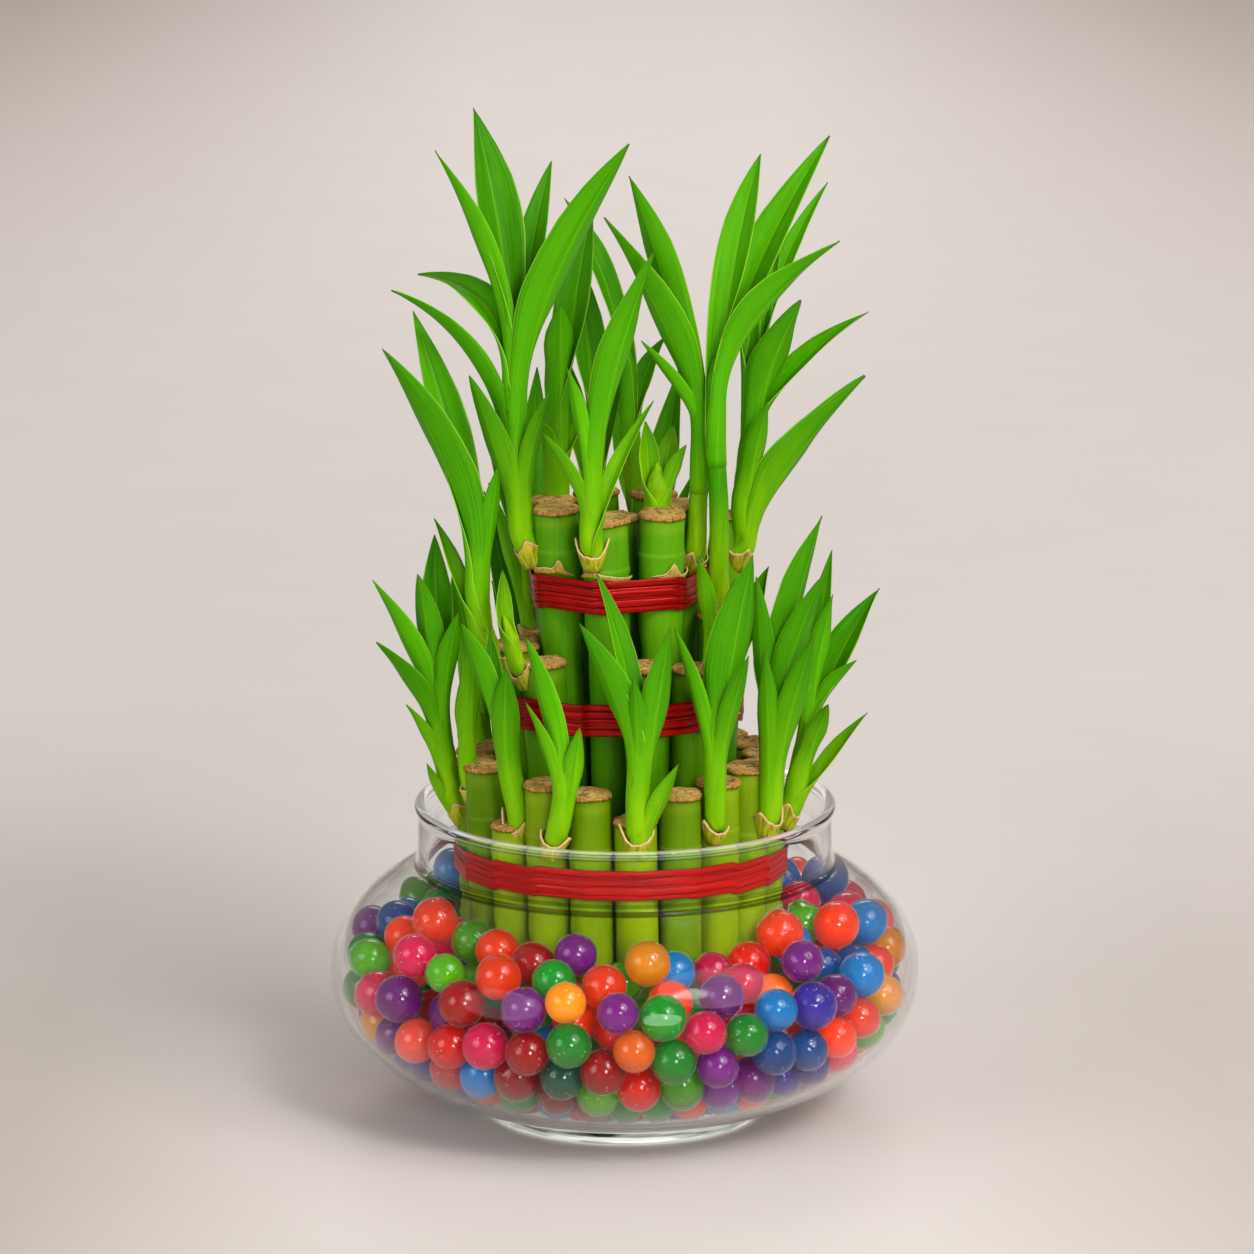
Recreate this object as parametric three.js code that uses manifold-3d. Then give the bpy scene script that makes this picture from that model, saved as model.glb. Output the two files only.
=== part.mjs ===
// A lucky bamboo tower: cut green stalks in three tied tiers, standing in a clear glass bowl
// full of coloured water beads. Millimetres, +Z up, the front of the plant towards -Y.
// The origin is the middle of the bowl's underside.

import * as THREE from "three";
import { mergeVertices } from "three/addons/utils/BufferGeometryUtils.js";
import Module from "manifold-3d";

const wasm = await Module();
wasm.setup();

// Bowl
const BODY_RADIUS = 73.5;
const BODY_HALF_HEIGHT = 36.7;
const BODY_MIDDLE_Z = 36.5;
const BODY_SQUARENESS = 2.15;
const GLASS_WALL = 2.0;
const FOOT_RADIUS = 34.5;
const FOOT_TOP_RADIUS = 35.5;
const FOOT_TOP_Z = 4.9;
const FOOT_CHAMFER = 0.8;
const FOOT_JOIN = 0.8;
const FLOOR_Z = 7.4;
const NECK_RADIUS = 51.6;
const NECK_FOOT_Z = 63.0;
const RIM_RADIUS = 52.4;
const RIM_TOP_Z = 79.5;
const RIM_HEIGHT = 1.8;
const RIM_ROUND = 0.5;
const NECK_JOIN = 0.7;
const INNER_NECK_DROP = 1.6;
const INNER_BODY_DROP = 3.4;
const BODY_STEPS = 7;
const BOWL_SIDES = 30;

// Clearance between pieces that touch
const GAP = 0.3;

// Vertices nearer than this are one vertex
const SAME_SPOT = 0.0001;

// Stalks: three rings round one core, all leaning a little to the left as one bundle
const STALK_FOOT_Z = FLOOR_Z + 0.6;
const BUNDLE_LEAN = -0.0157;
const STALK_SIDES = 8;
const NODE_SWELL = 0.45;
const NODE_RISE = 1.6;
const NODE_BELOW_CUT = 2.5;
const NODE_STAGGER = 3;

const TIERS = {
  bottom: {
    radius: 5.3, count: 20, firstAngle: 6, ringAtFoot: 34.2, spread: 0.022, top: 91, nodeZ: 79,
  },
  middle: {
    radius: 4.9, count: 12, firstAngle: 15, ringAtFoot: 22.7, spread: 0.0262, top: 119, nodeZ: 115.5,
    highRadius: 5.35, swellZ: 95,
  },
  top: {
    radius: 4.9, count: 7, firstAngle: -60, ringAtFoot: 12.0, spread: 0.0324, top: 155, nodeZ: 145,
    highRadius: 5.65, swellZ: 121.5,
  },
};

// Above the tier outside it a stalk is thicker, unless it stands right behind one of the next ring
const SWELL_LENGTH = 4;
const THIN_MIDDLE_ANGLES = [45, -105, -165];
const SAME_ANGLE = 2;
const CORE_TOP = 152;

// Stalks cut at another height than their tier, by tier and angle, and the one place left empty
const OTHER_TOPS = {
  bottom: { "-48": 80, "-30": 92, "-12": 90.5, 6: 84, 24: 90, 42: 91.5, 60: 93, "-66": 92.5 },
  middle: { "-75": 121, 75: 129, 105: 151, "-45": 119.5, 15: 120, 45: 118 },
  top: { "-60": 156, "-9": 155, 43: 155.5 },
};
const EMPTY_MIDDLE_ANGLE = -15;

// One tall stalk of the middle ring bends outwards above its tie
const SPLAYED_MIDDLE_ANGLE = 105;
const SPLAY = 0.085;
const SPLAY_FROM_Z = 110;

// Ties: flat ribbon in wound strands, higher at the front than at the back
const TIE_THICKNESS = 1.1;
const TIE_GROOVE = 0.45;
const TIE_WRAPS = 2;
const TIE_TILT = 0.078;
const TIE_PLAY = 0.12;
const TIE_STEP = 13;
const TIE_ARC_SHARE = 0.98;
const TIES = {
  bottom: { middleZ: 65.5, height: 7.5 },
  middle: { middleZ: 105.6, height: 8.0 },
  top: { middleZ: 134.8, height: 8.0 },
};

// Beads, larger than life so that few of them cover the bed
const BEAD_RADIUS = 7.4;
const BEAD_ROWS = 4;
const BEAD_LOW_Z = 18.5;
const BEAD_TOP_Z = 50.5;
const BEAD_TOP_RING = 49.6;
const BEAD_PLAY = 1.0;
const BEAD_ROW_STEPS = 8;
const BEAD_TURN = 0.9;
const BEAD_CORE_SIDES = 14;
const BEAD_CORE_SECTION = [
  [38, 21], [46.5, 21.5], [56.5, 29.5], [57.5, 41], [49.5, 47], [38, 47], [38, 21],
];
const HOLE_SIDES = 24;
const HOLE_CLEARANCE = 0.45;

// Leaves
const BLADE_THICKNESS = 1.5;
const BLADE_KEEL = 0.17;
const BLADE_TURN = 0.5;
const BLADE_FORMS = {
  broad: { stations: [0.1, 0.34, 0.6, 0.83], widths: [0.5, 0.84, 1.0, 0.54] },
  narrow: { stations: [0.1, 0.42, 0.76], widths: [0.5, 1.0, 0.66] },
};
const BROAD_WIDTH = 8;
const KEELED_WIDTH = 5.2;
const BLADE_SET_OUT = 1.2;
const BLADE_TAPER = 0.45;
const STEM_SIDES = 5;
const STEM_ROOT_POINT = -0.5;
const STEM_END_POINT = 0.8;

// The shoots. Each grows on the stalk named by tier and angle from the front, right positive.
// stem: points from inside the stalk upwards. girth: stem radius low and high.
// leaves: [place along the stem 0 to 1, tip x, tip y, tip z, width, length that follows the stem]
const SHOOTS = [
  {
    tier: "top", angle: -60, girth: [3.0, 2.3],
    stem: [[-18, -8, 143], [-24, -8, 146], [-26, -8, 157], [-27, -8, 182], [-27, -8, 197]],
    leaves: [
      [1.0, -37, 3, 253, 10.5, 24], [0.95, -46, -12, 245, 6.5, 20], [0.9, -18, 8, 239, 6.5, 22],
      [0.75, 1, -20, 248, 11, 24], [0.85, -51, 12, 210, 8.5, 22], [0.6, -57, -9, 210, 6.5, 30],
      [0.45, -38, -15, 190, 6.5, 12], [0.5, -18, -17, 187, 4.5, 10],
    ],
  },
  {
    tier: "top", angle: -111, girth: [3.2, 2.6],
    stem: [[-17, 6, 142], [-17, 11, 148], [-17, 12, 165], [-17, 12, 180]],
    leaves: [
      [0.95, -16, 10, 203, 7, 12], [0.6, -22, 5, 174, 4, 10], [0.6, -10, 13, 173, 4, 8],
      [0.9, -8, 18, 226, 8.5, 20],
    ],
  },
  {
    tier: "top", angle: -9, girth: [2.9, 2.2],
    stem: [[-5, -16, 145], [-8, -21, 148], [-8, -22, 158], [-8, -22, 168]],
    leaves: [
      [0.95, 7, -29, 223, 9, 22], [0.35, 7, -16, 184, 4, 14], [0.95, -14, -26, 194, 4, 12],
      [0.6, -20, -26, 178, 4, 8],
    ],
  },
  {
    tier: "top", angle: 43, girth: [3.0, 3.0],
    stem: [[9, -10, 144], [8, -5, 150], [8, -5, 160]],
    leaves: [[0.8, 5, -2, 176, 5, 8], [0.8, 15, -7, 171, 4.5, 7], [0.8, 12, 3, 174, 5, 7]],
  },
  {
    tier: "top", angle: 94, girth: [2.8, 2.2],
    stem: [[14, -1, 139], [17, -6, 144], [18, -6, 157], [19, -7, 175], [18, -8, 185]],
    leaves: [[0.9, 1, -13, 239, 8.5, 26], [0.75, -5, -20, 230, 9.5, 20], [0.8, 4, -17, 199, 4, 6]],
  },
  {
    tier: "middle", angle: 75, girth: [2.9, 2.2],
    stem: [[23, -7, 124], [23, -10, 133], [23, -12, 157], [22, -12, 175], [22, -12, 188]],
    leaves: [[0.9, 52, -19, 224, 10, 20], [1.0, 33, -5, 243, 8, 26], [0.95, 50, 4, 246, 9.5, 22]],
  },
  {
    tier: "middle", angle: 105, girth: [2.9, 2.1],
    stem: [[24, 6, 138], [29, 4, 143], [29, 3, 155], [31, 3, 172], [31, 3, 182]],
    leaves: [
      [1.0, 29, 5, 232, 6.5, 18], [1.0, 50, 18, 232, 4.5, 26], [0.95, 39, 13, 224, 5, 20],
      [0.8, 43, -6, 207, 9.5, 12], [0.75, 60, 10, 201, 6, 14], [0.5, 35, -7, 182, 5.5, 10],
      [0.3, 59, 0, 187, 12, 14],
    ],
  },
  {
    tier: "top", angle: 145, girth: [2.8, 2.0],
    stem: [[6, 14, 142], [3, 18, 150], [1, 18, 172], [1, 18, 184]],
    leaves: [[0.95, -15, 24, 227, 6, 22], [0.6, 10, 24, 192, 5, 14]],
  },
  {
    tier: "top", angle: -163, girth: [2.8, 2.0],
    stem: [[-7, 15, 141], [-8, 21, 147], [-7, 22, 168]],
    leaves: [[0.95, -12, 26, 212, 8, 18], [0.6, -18, 30, 192, 6, 14], [0.7, 0, 31, 196, 6, 14]],
  },
  {
    tier: "middle", angle: -75, girth: [3.0, 2.6],
    stem: [[-27, -7, 114], [-33, -9, 119], [-36, -10, 130], [-36, -10, 146]],
    leaves: [
      [0.95, -59, -17, 197, 11.5, 18], [0.85, -52, 1, 203, 9, 24], [0.9, -31, -13, 167, 4.5, 10],
      [0.6, -47, -4, 152, 4, 10],
    ],
  },
  {
    tier: "middle", angle: -45, girth: [2.4, 1.8],
    stem: [[-20, -18, 114], [-26, -19, 118], [-28, -19, 125]],
    leaves: [[0.9, -30, -18, 142, 4.5, 6]],
  },
  {
    tier: "middle", angle: 45, girth: [2.6, 2.2],
    stem: [[17, -17, 113], [21, -19, 117], [22, -19, 126]],
    leaves: [[0.9, 18, -22, 146, 4.5, 8], [0.7, 27, -18, 140, 4, 6]],
  },
  {
    tier: "middle", angle: -135, girth: [2.8, 2.2],
    stem: [[-20, 18, 113], [-23, 22, 118], [-24, 23, 134]],
    leaves: [[0.9, -36, 32, 176, 8, 16], [0.8, -22, 36, 182, 8, 18], [0.6, -34, 19, 156, 5, 10]],
  },
  {
    tier: "middle", angle: 165, girth: [2.8, 2.2],
    stem: [[5, 25, 113], [6, 30, 118], [6, 31, 136]],
    leaves: [[0.9, -4, 40, 178, 8, 16], [0.8, 14, 38, 182, 8, 18], [0.6, 17, 38, 154, 5, 10]],
  },
  {
    tier: "bottom", angle: -84, girth: [2.8, 2.2],
    stem: [[-37, -4, 75], [-42, -5, 80], [-44, -5, 89], [-46, -5, 101], [-46, -5, 111]],
    leaves: [
      [0.8, -62, -11, 138, 6.5, 12], [0.7, -61, -18, 124, 6, 10], [1.0, -47, 0, 147, 7.5, 12],
      [0.95, -51, -9, 139, 6.5, 12], [0.8, -41, -12, 130, 5, 10], [0.5, -54, -9, 106, 4, 8],
      [0.2, -49, -9, 91, 3.5, 4],
    ],
  },
  {
    tier: "bottom", angle: -66, girth: [2.6, 1.9],
    stem: [[-34, -14, 82], [-38, -13, 87], [-39, -13, 98]],
    leaves: [[0.9, -40, -14, 115, 4, 6], [0.9, -37, -16, 124, 5, 10]],
  },
  {
    tier: "bottom", angle: -48, girth: [3.0, 2.4],
    stem: [[-27, -24, 75], [-26, -27, 82], [-28, -28, 93], [-30, -28, 108]],
    leaves: [[0.9, -40, -31, 132, 7, 10], [0.7, -29, -33, 121, 6.5, 8], [0.9, -33, -24, 128, 4.5, 10]],
  },
  {
    tier: "bottom", angle: -30, girth: [2.8, 2.2],
    stem: [[-18, -33, 77], [-17, -39, 80], [-15, -41, 90], [-15, -41, 99]],
    leaves: [[0.9, -24, -43, 131, 7.5, 12], [0.7, -24, -44, 115, 4, 8], [0.6, -11, -45, 109, 5, 8]],
  },
  {
    tier: "bottom", angle: 6, girth: [3.0, 2.2],
    stem: [[3, -36, 76], [3, -40, 81], [3, -41, 91], [4, -41, 105]],
    leaves: [
      [0.8, -11, -45, 135, 8.5, 14], [0.95, -7, -38, 146, 6, 16], [0.75, 11, -45, 134, 7.5, 12],
      [0.9, 2, -46, 122, 4, 6], [0.25, 13, -45, 100, 5, 6],
    ],
  },
  {
    tier: "bottom", angle: 42, girth: [2.8, 2.2],
    stem: [[22, -27, 77], [22, -31, 81], [22, -33, 90], [22, -33, 105]],
    leaves: [[0.9, 31, -37, 150, 10.5, 18], [0.85, 12, -37, 132, 5, 10], [0.8, 30, -41, 126, 5, 10]],
  },
  {
    tier: "bottom", angle: 60, girth: [3.0, 2.2],
    stem: [[31, -19, 76], [35, -21, 80], [36, -22, 91], [36, -22, 110]],
    leaves: [
      [0.95, 48, -24, 157, 10, 18], [0.9, 48, -33, 144, 7, 14], [0.9, 32, -25, 142, 6, 12],
      [0.6, 46, -34, 129, 6.5, 14], [0.6, 34, -31, 125, 5, 12],
    ],
  },
  {
    tier: "bottom", angle: 78, girth: [2.8, 2.0],
    stem: [[36, -7, 75], [41, -8, 80], [43, -8, 89], [45, -8, 99], [45, -8, 107]],
    leaves: [
      [1.0, 51, -4, 144, 5.5, 12], [0.9, 51, -14, 135, 6, 10], [0.8, 63, 2, 133, 8.5, 10],
      [0.8, 57, -12, 118, 4.5, 8], [0.3, 60, -5, 103, 4, 8], [0.5, 50, -17, 108, 5.5, 8],
    ],
  },
];

// Shoots on the far side of the bottom ring: those of the front, carried round the bundle
const CARRIED_SHOOTS = [
  { from: -66, turn: 180 },
  { from: -48, turn: 180 },
  { from: -30, turn: 180 },
  { from: 6, turn: 180 },
  { from: 42, turn: 180 },
  { from: -48, turn: -72 },
];

const COLOURS = {
  glass: { color: 0xdfe6e4, roughness: 0.03, metalness: 0 },
  beads: { color: 0xc0455a, roughness: 0.15, metalness: 0 },
  ribbon: { color: 0xc4110f, roughness: 0.3, metalness: 0.2 },
  bottom: { color: 0x86b312, roughness: 0.35, metalness: 0 },
  middle: { color: 0x4f9410, roughness: 0.35, metalness: 0 },
  top: { color: 0x58a015, roughness: 0.35, metalness: 0 },
};

const radians = THREE.MathUtils.degToRad;

function bundleX(z) {
  return BUNDLE_LEAN * (z - STALK_FOOT_Z);
}

// A point of a ring at an angle from the front, at a height
function ringPoint(tier, angle, z) {
  const reach = tier.ringAtFoot + tier.spread * (z - STALK_FOOT_Z);
  const a = radians(angle);
  return new THREE.Vector3(bundleX(z) + reach * Math.sin(a), -reach * Math.cos(a), z);
}

// A tier's stalk radius at a height
function stalkRadius(tier, z) {
  const high = tier.highRadius ?? tier.radius;
  const share = THREE.MathUtils.clamp((z - tier.swellZ) / SWELL_LENGTH, 0, 1);
  return high === tier.radius ? high : THREE.MathUtils.lerp(tier.radius, high, share);
}

// The same, bent outwards above the tie
function splayedPoint(tier, angle, z, splay) {
  const out = Math.max(0, z - SPLAY_FROM_Z) * splay;
  const a = radians(angle);
  return ringPoint(tier, angle, z).add(new THREE.Vector3(out * Math.sin(a), -out * Math.cos(a), 0));
}

// Closed geometry to solid and back
function solidOf(geometry) {
  const bare = geometry.clone();
  bare.deleteAttribute("normal");
  bare.deleteAttribute("uv");
  const merged = mergeVertices(bare, SAME_SPOT);
  const corners = merged.index.array;
  const kept = [];
  for (let i = 0; i < corners.length; i += 3) {
    const [a, b, c] = [corners[i], corners[i + 1], corners[i + 2]];
    if (a !== b && b !== c && c !== a) {
      kept.push(a, b, c);
    }
  }
  const vertProperties = Float32Array.from(merged.attributes.position.array);
  return new wasm.Manifold(new wasm.Mesh({ numProp: 3, vertProperties, triVerts: Uint32Array.from(kept) }));
}

function geometryOf(solid) {
  const mesh = solid.getMesh();
  const geometry = new THREE.BufferGeometry();
  geometry.setAttribute("position", new THREE.Float32BufferAttribute(mesh.vertProperties, 3));
  geometry.setIndex(Array.from(mesh.triVerts));
  geometry.computeVertexNormals();
  return geometry;
}

function joined(solids) {
  return solids.reduce((whole, next) => whole.add(next));
}

// A profile of [radius, height] pairs turned round the upright axis
function turned(profile, sides) {
  const points = profile.map(([radius, height]) => new THREE.Vector2(radius, height));
  return new THREE.LatheGeometry(points, sides).rotateX(Math.PI / 2);
}

// A closed spindle of `stations` rings, each vertex then moved by place(station, side) to its spot.
// Station 0 and the last are single points.
function spindle(stations, sides, place) {
  const profile = [new THREE.Vector2(0, 0)];
  for (let station = 1; station < stations - 1; station += 1) {
    profile.push(new THREE.Vector2(1, station));
  }
  profile.push(new THREE.Vector2(0, stations - 1));
  const geometry = new THREE.LatheGeometry(profile, sides);
  const position = geometry.attributes.position;
  for (let side = 0; side <= sides; side += 1) {
    for (let station = 0; station < stations; station += 1) {
      const spot = place(station, side % sides);
      position.setXYZ(side * stations + station, spot.x, spot.y, spot.z);
    }
  }
  return geometry;
}

// Both faces of a blade get the same diagonals, so that a bent blade never cuts itself
function matchDiagonals(geometry, stations) {
  const corners = geometry.index.array;
  const quads = stations - 1;
  for (let side = 2; side < 4; side += 1) {
    for (let quad = 0; quad < quads; quad += 1) {
      const low = side * stations + quad;
      const high = low + 1;
      const lowNext = low + stations;
      const highNext = lowNext + 1;
      const first = (side * quads + quad) * 6;
      corners.set([low, lowNext, highNext, low, highNext, high], first);
    }
  }
  return geometry;
}

function stemCurve(points) {
  return new THREE.CatmullRomCurve3(points.map((p) => new THREE.Vector3(...p)), false, "centripetal");
}

// A round shoot stem along its curve, thick at the callus where it leaves the stalk
function stemGeometry(curve, [low, high], steps) {
  const last = steps + 2;
  return spindle(last + 1, STEM_SIDES, (station, side) => {
    const along = THREE.MathUtils.clamp((station - 1) / steps, 0, 1);
    const middle = curve.getPoint(along);
    const tangent = curve.getTangent(along);
    if (station === 0 || station === last) {
      return middle.addScaledVector(tangent, station === 0 ? STEM_ROOT_POINT : STEM_END_POINT);
    }
    const across = new THREE.Vector3(0, 1, 0).cross(tangent).normalize();
    const back = tangent.clone().cross(across);
    const turn = (2 * Math.PI * side) / STEM_SIDES;
    const radius = THREE.MathUtils.lerp(low, high, along);
    middle.addScaledVector(across, radius * Math.sin(turn));
    return middle.addScaledVector(back, radius * Math.cos(turn));
  });
}

// A blade with a shallow keel that follows the stem first and then bends to its tip
function bladeGeometry(base, direction, tip, width, follow) {
  const bend = base.clone().addScaledVector(direction, follow);
  const curve = new THREE.QuadraticBezierCurve3(base, bend, tip);
  const chord = tip.clone().sub(base);
  const outward = new THREE.Vector3(chord.x, chord.y, 0);
  const natural = new THREE.Vector3(-outward.y, outward.x, 0).normalize();
  const facing = new THREE.Vector3(Math.sign(natural.x || 1), 0, 0);
  const side = natural.lerp(facing, BLADE_TURN).normalize();
  const form = width >= BROAD_WIDTH ? BLADE_FORMS.broad : BLADE_FORMS.narrow;
  const stations = form.stations.length + 2;
  const corners = width > KEELED_WIDTH ? 4 : 3;
  const geometry = spindle(stations, corners, (station, corner) => {
    if (station === 0) {
      return base;
    }
    if (station === stations - 1) {
      return tip;
    }
    const along = form.stations[station - 1];
    const spot = curve.getPoint(along);
    const tangent = curve.getTangent(along);
    const across = side.clone().addScaledVector(tangent, -side.dot(tangent)).normalize();
    const up = across.clone().cross(tangent);
    if (up.dot(outward) > 0) {
      up.negate();
    }
    const half = (width * form.widths[station - 1]) / 2;
    const thick = (BLADE_THICKNESS / 2) * (1 - BLADE_TAPER * along);
    const edge = half * 2 * BLADE_KEEL;
    const keeled = [[half, edge], [0, thick], [-half, edge], [0, -thick]];
    const flat = [[half, thick], [-half, thick], [0, -thick]];
    const [aside, raised] = (corners === 4 ? keeled : flat)[corner];
    return spot.addScaledVector(across, aside).addScaledVector(up, raised);
  });
  return corners === 4 ? matchDiagonals(geometry, stations) : geometry;
}

// Turns a spindle's solid right side out where its frame came out mirrored
function orientedSolid(geometry) {
  const solid = solidOf(geometry);
  if (solid.volume() > 0) {
    return solid;
  }
  const corners = geometry.index.array;
  for (let i = 0; i < corners.length; i += 3) {
    [corners[i], corners[i + 1]] = [corners[i + 1], corners[i]];
  }
  return solidOf(geometry);
}

function shootSolids(shoot) {
  const curve = stemCurve(shoot.stem);
  const solids = [orientedSolid(stemGeometry(curve, shoot.girth, shoot.stem.length))];
  for (const [along, x, y, z, width, follow] of shoot.leaves) {
    const base = curve.getPoint(along);
    const direction = curve.getTangent(along);
    const tip = new THREE.Vector3(x, y, z);
    const away = tip.clone().sub(base).setZ(0).normalize();
    base.addScaledVector(away, BLADE_SET_OUT);
    solids.push(orientedSolid(bladeGeometry(base, direction, tip, width, follow)));
  }
  return solids;
}

// A cut stalk with a swollen node below its cut, sheared so that it leans outwards
function stalkSolid(tier, top, nodeZ, middleAt) {
  const profile = [[0, STALK_FOOT_Z], [tier.radius, STALK_FOOT_Z]];
  const radiusAt = (z) => stalkRadius(tier, z);
  if (radiusAt(top) > tier.radius) {
    const full = tier.swellZ + SWELL_LENGTH;
    profile.push([radiusAt(tier.swellZ), tier.swellZ], [radiusAt(full), full]);
  }
  if (nodeZ + NODE_BELOW_CUT < top) {
    profile.push([radiusAt(nodeZ), nodeZ - NODE_RISE]);
    profile.push([radiusAt(nodeZ) + NODE_SWELL, nodeZ]);
  }
  profile.push([radiusAt(top), top], [0, top]);
  const geometry = turned(profile, STALK_SIDES);
  const position = geometry.attributes.position;
  for (let i = 0; i < position.count; i += 1) {
    const middle = middleAt(position.getZ(i));
    position.setX(i, position.getX(i) + middle.x);
    position.setY(i, position.getY(i) + middle.y);
  }
  return orientedSolid(geometry);
}

// The bowl's outer curve, or the same curve drawn in by an inset
function bodyRadius(z, inset) {
  const height = Math.abs(z - BODY_MIDDLE_Z) / (BODY_HALF_HEIGHT - inset);
  return (BODY_RADIUS - inset) * (1 - height ** BODY_SQUARENESS) ** (1 / BODY_SQUARENESS);
}

// Points of that curve between two heights, closer together where it bends most
function bodyCurve(fromZ, toZ, inset, steps) {
  const halfHeight = BODY_HALF_HEIGHT - inset;
  const angleAt = (z) => Math.asin((z - BODY_MIDDLE_Z) / halfHeight);
  const points = [];
  for (let step = 0; step <= steps; step += 1) {
    const angle = THREE.MathUtils.lerp(angleAt(fromZ), angleAt(toZ), step / steps);
    const z = BODY_MIDDLE_Z + halfHeight * Math.sin(angle);
    points.push([bodyRadius(z, inset), z]);
  }
  return points;
}

function bowlGeometry() {
  const innerNeck = NECK_RADIUS - GLASS_WALL;
  const rimFoot = RIM_TOP_Z - RIM_HEIGHT;
  const profile = [
    [0, 0],
    [FOOT_RADIUS - FOOT_CHAMFER, 0],
    [FOOT_RADIUS, FOOT_CHAMFER],
    [FOOT_TOP_RADIUS, FOOT_TOP_Z],
    ...bodyCurve(FOOT_TOP_Z + FOOT_JOIN, NECK_FOOT_Z - NECK_JOIN, 0, BODY_STEPS),
    [NECK_RADIUS, NECK_FOOT_Z + NECK_JOIN],
    [NECK_RADIUS, rimFoot - RIM_ROUND],
    [RIM_RADIUS, rimFoot],
    [RIM_RADIUS, RIM_TOP_Z - RIM_ROUND],
    [NECK_RADIUS - GLASS_WALL / 2, RIM_TOP_Z],
    [innerNeck, RIM_TOP_Z - RIM_ROUND],
    [innerNeck, NECK_FOOT_Z - INNER_NECK_DROP],
    ...bodyCurve(NECK_FOOT_Z - INNER_BODY_DROP, FLOOR_Z, GLASS_WALL, BODY_STEPS),
    [0, FLOOR_Z],
  ];
  return turned(profile, BOWL_SIDES);
}

// The bed of beads: a plain ring-shaped core with beads set into it, and one hole for the bundle
// of stalks
function beadBedSolid() {
  const tier = TIERS.bottom;
  const holeRadius = (z) => {
    const reach = tier.ringAtFoot + tier.spread * (z - STALK_FOOT_Z) + tier.radius + NODE_SWELL;
    return (reach + HOLE_CLEARANCE) / Math.cos(Math.PI / HOLE_SIDES);
  };
  const inset = GLASS_WALL + GAP + BEAD_RADIUS + BEAD_PLAY;
  const wallRow = bodyCurve(BEAD_LOW_Z, BEAD_TOP_Z, inset, BEAD_ROW_STEPS);
  const rowCurve = new THREE.CatmullRomCurve3(
    [...wallRow, [BEAD_TOP_RING, BEAD_TOP_Z]].map(([r, z]) => new THREE.Vector3(r, 0, z)),
  );
  const bead = new THREE.IcosahedronGeometry(BEAD_RADIUS, 0);
  const solids = [orientedSolid(turned(BEAD_CORE_SECTION, BEAD_CORE_SIDES))];
  rowCurve.getSpacedPoints(BEAD_ROWS - 1).forEach((place, row) => {
    const count = Math.floor((Math.PI * place.x) / BEAD_RADIUS);
    for (let i = 0; i < count; i += 1) {
      const turn = (2 * Math.PI * (i + 0.5 * (row % 2))) / count;
      const one = bead.clone().rotateX(BEAD_TURN * i + row).rotateZ(turn);
      one.translate(place.x * Math.cos(turn), place.x * Math.sin(turn), place.z);
      solids.push(solidOf(one));
    }
  });
  const hole = turned(
    [[0, 0], [holeRadius(0), 0], [holeRadius(RIM_TOP_Z), RIM_TOP_Z], [0, RIM_TOP_Z]],
    HOLE_SIDES,
  );
  const sheared = hole.attributes.position;
  for (let i = 0; i < sheared.count; i += 1) {
    sheared.setX(i, sheared.getX(i) + bundleX(sheared.getZ(i)));
  }
  return joined(solids).subtract(orientedSolid(hole));
}

// A tie follows the outline of its ring of stalks, as a tight ribbon does
function tieGeometry(tierName) {
  const tier = TIERS[tierName];
  const tie = TIES[tierName];
  const pitch = 360 / tier.count;
  const perStalk = Math.max(2, Math.round(pitch / TIE_STEP) + 1);
  const normals = [];
  for (let stalk = 0; stalk < tier.count; stalk += 1) {
    for (let k = 0; k < perStalk; k += 1) {
      const middle = tier.firstAngle + pitch * stalk;
      const share = k / (perStalk - 1) - 0.5;
      normals.push([middle, middle + pitch * share * TIE_ARC_SHARE]);
    }
  }
  const profile = [[0, -0.5]];
  for (let wrap = 0; wrap < TIE_WRAPS; wrap += 1) {
    profile.push([TIE_THICKNESS, (wrap + 0.5) / TIE_WRAPS - 0.5]);
    if (wrap < TIE_WRAPS - 1) {
      profile.push([TIE_THICKNESS - TIE_GROOVE, (wrap + 1) / TIE_WRAPS - 0.5]);
    }
  }
  profile.push([0, 0.5], [0, -0.5]);
  const geometry = turned(profile, normals.length);
  const position = geometry.attributes.position;
  for (let column = 0; column <= normals.length; column += 1) {
    const [stalkAngle, normalAngle] = normals[column % normals.length];
    const out = new THREE.Vector3(Math.sin(radians(normalAngle)), -Math.cos(radians(normalAngle)), 0);
    profile.forEach(([thickness, share], row) => {
      const level = tie.middleZ + share * tie.height;
      const reach = tier.ringAtFoot + tier.spread * (level - STALK_FOOT_Z);
      const z = level + TIE_TILT * reach * -out.y;
      const spot = ringPoint(tier, stalkAngle, z);
      spot.addScaledVector(out, stalkRadius(tier, tie.middleZ) + GAP + TIE_PLAY + thickness);
      position.setXYZ(column * profile.length + row, spot.x, spot.y, z);
    });
  }
  return geometry;
}

// A shoot carried round the bundle to another stalk
function carriedShoot(shoot, degrees) {
  const turn = radians(degrees);
  const carry = ([x, y, z]) => {
    const across = x - bundleX(z);
    const newAcross = across * Math.cos(turn) - y * Math.sin(turn);
    const newY = across * Math.sin(turn) + y * Math.cos(turn);
    return [bundleX(z) + newAcross, newY, z];
  };
  const leaves = shoot.leaves.map(([along, x, y, z, width, follow]) => {
    return [along, ...carry([x, y, z]), width, follow];
  });
  return { ...shoot, angle: shoot.angle + degrees, stem: shoot.stem.map(carry), leaves };
}

function allShoots() {
  const carriedOnes = CARRIED_SHOOTS.map(({ from, turn }) => {
    const original = SHOOTS.find((shoot) => shoot.tier === "bottom" && shoot.angle === from);
    return carriedShoot(original, turn);
  });
  return [...SHOOTS, ...carriedOnes];
}

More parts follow.
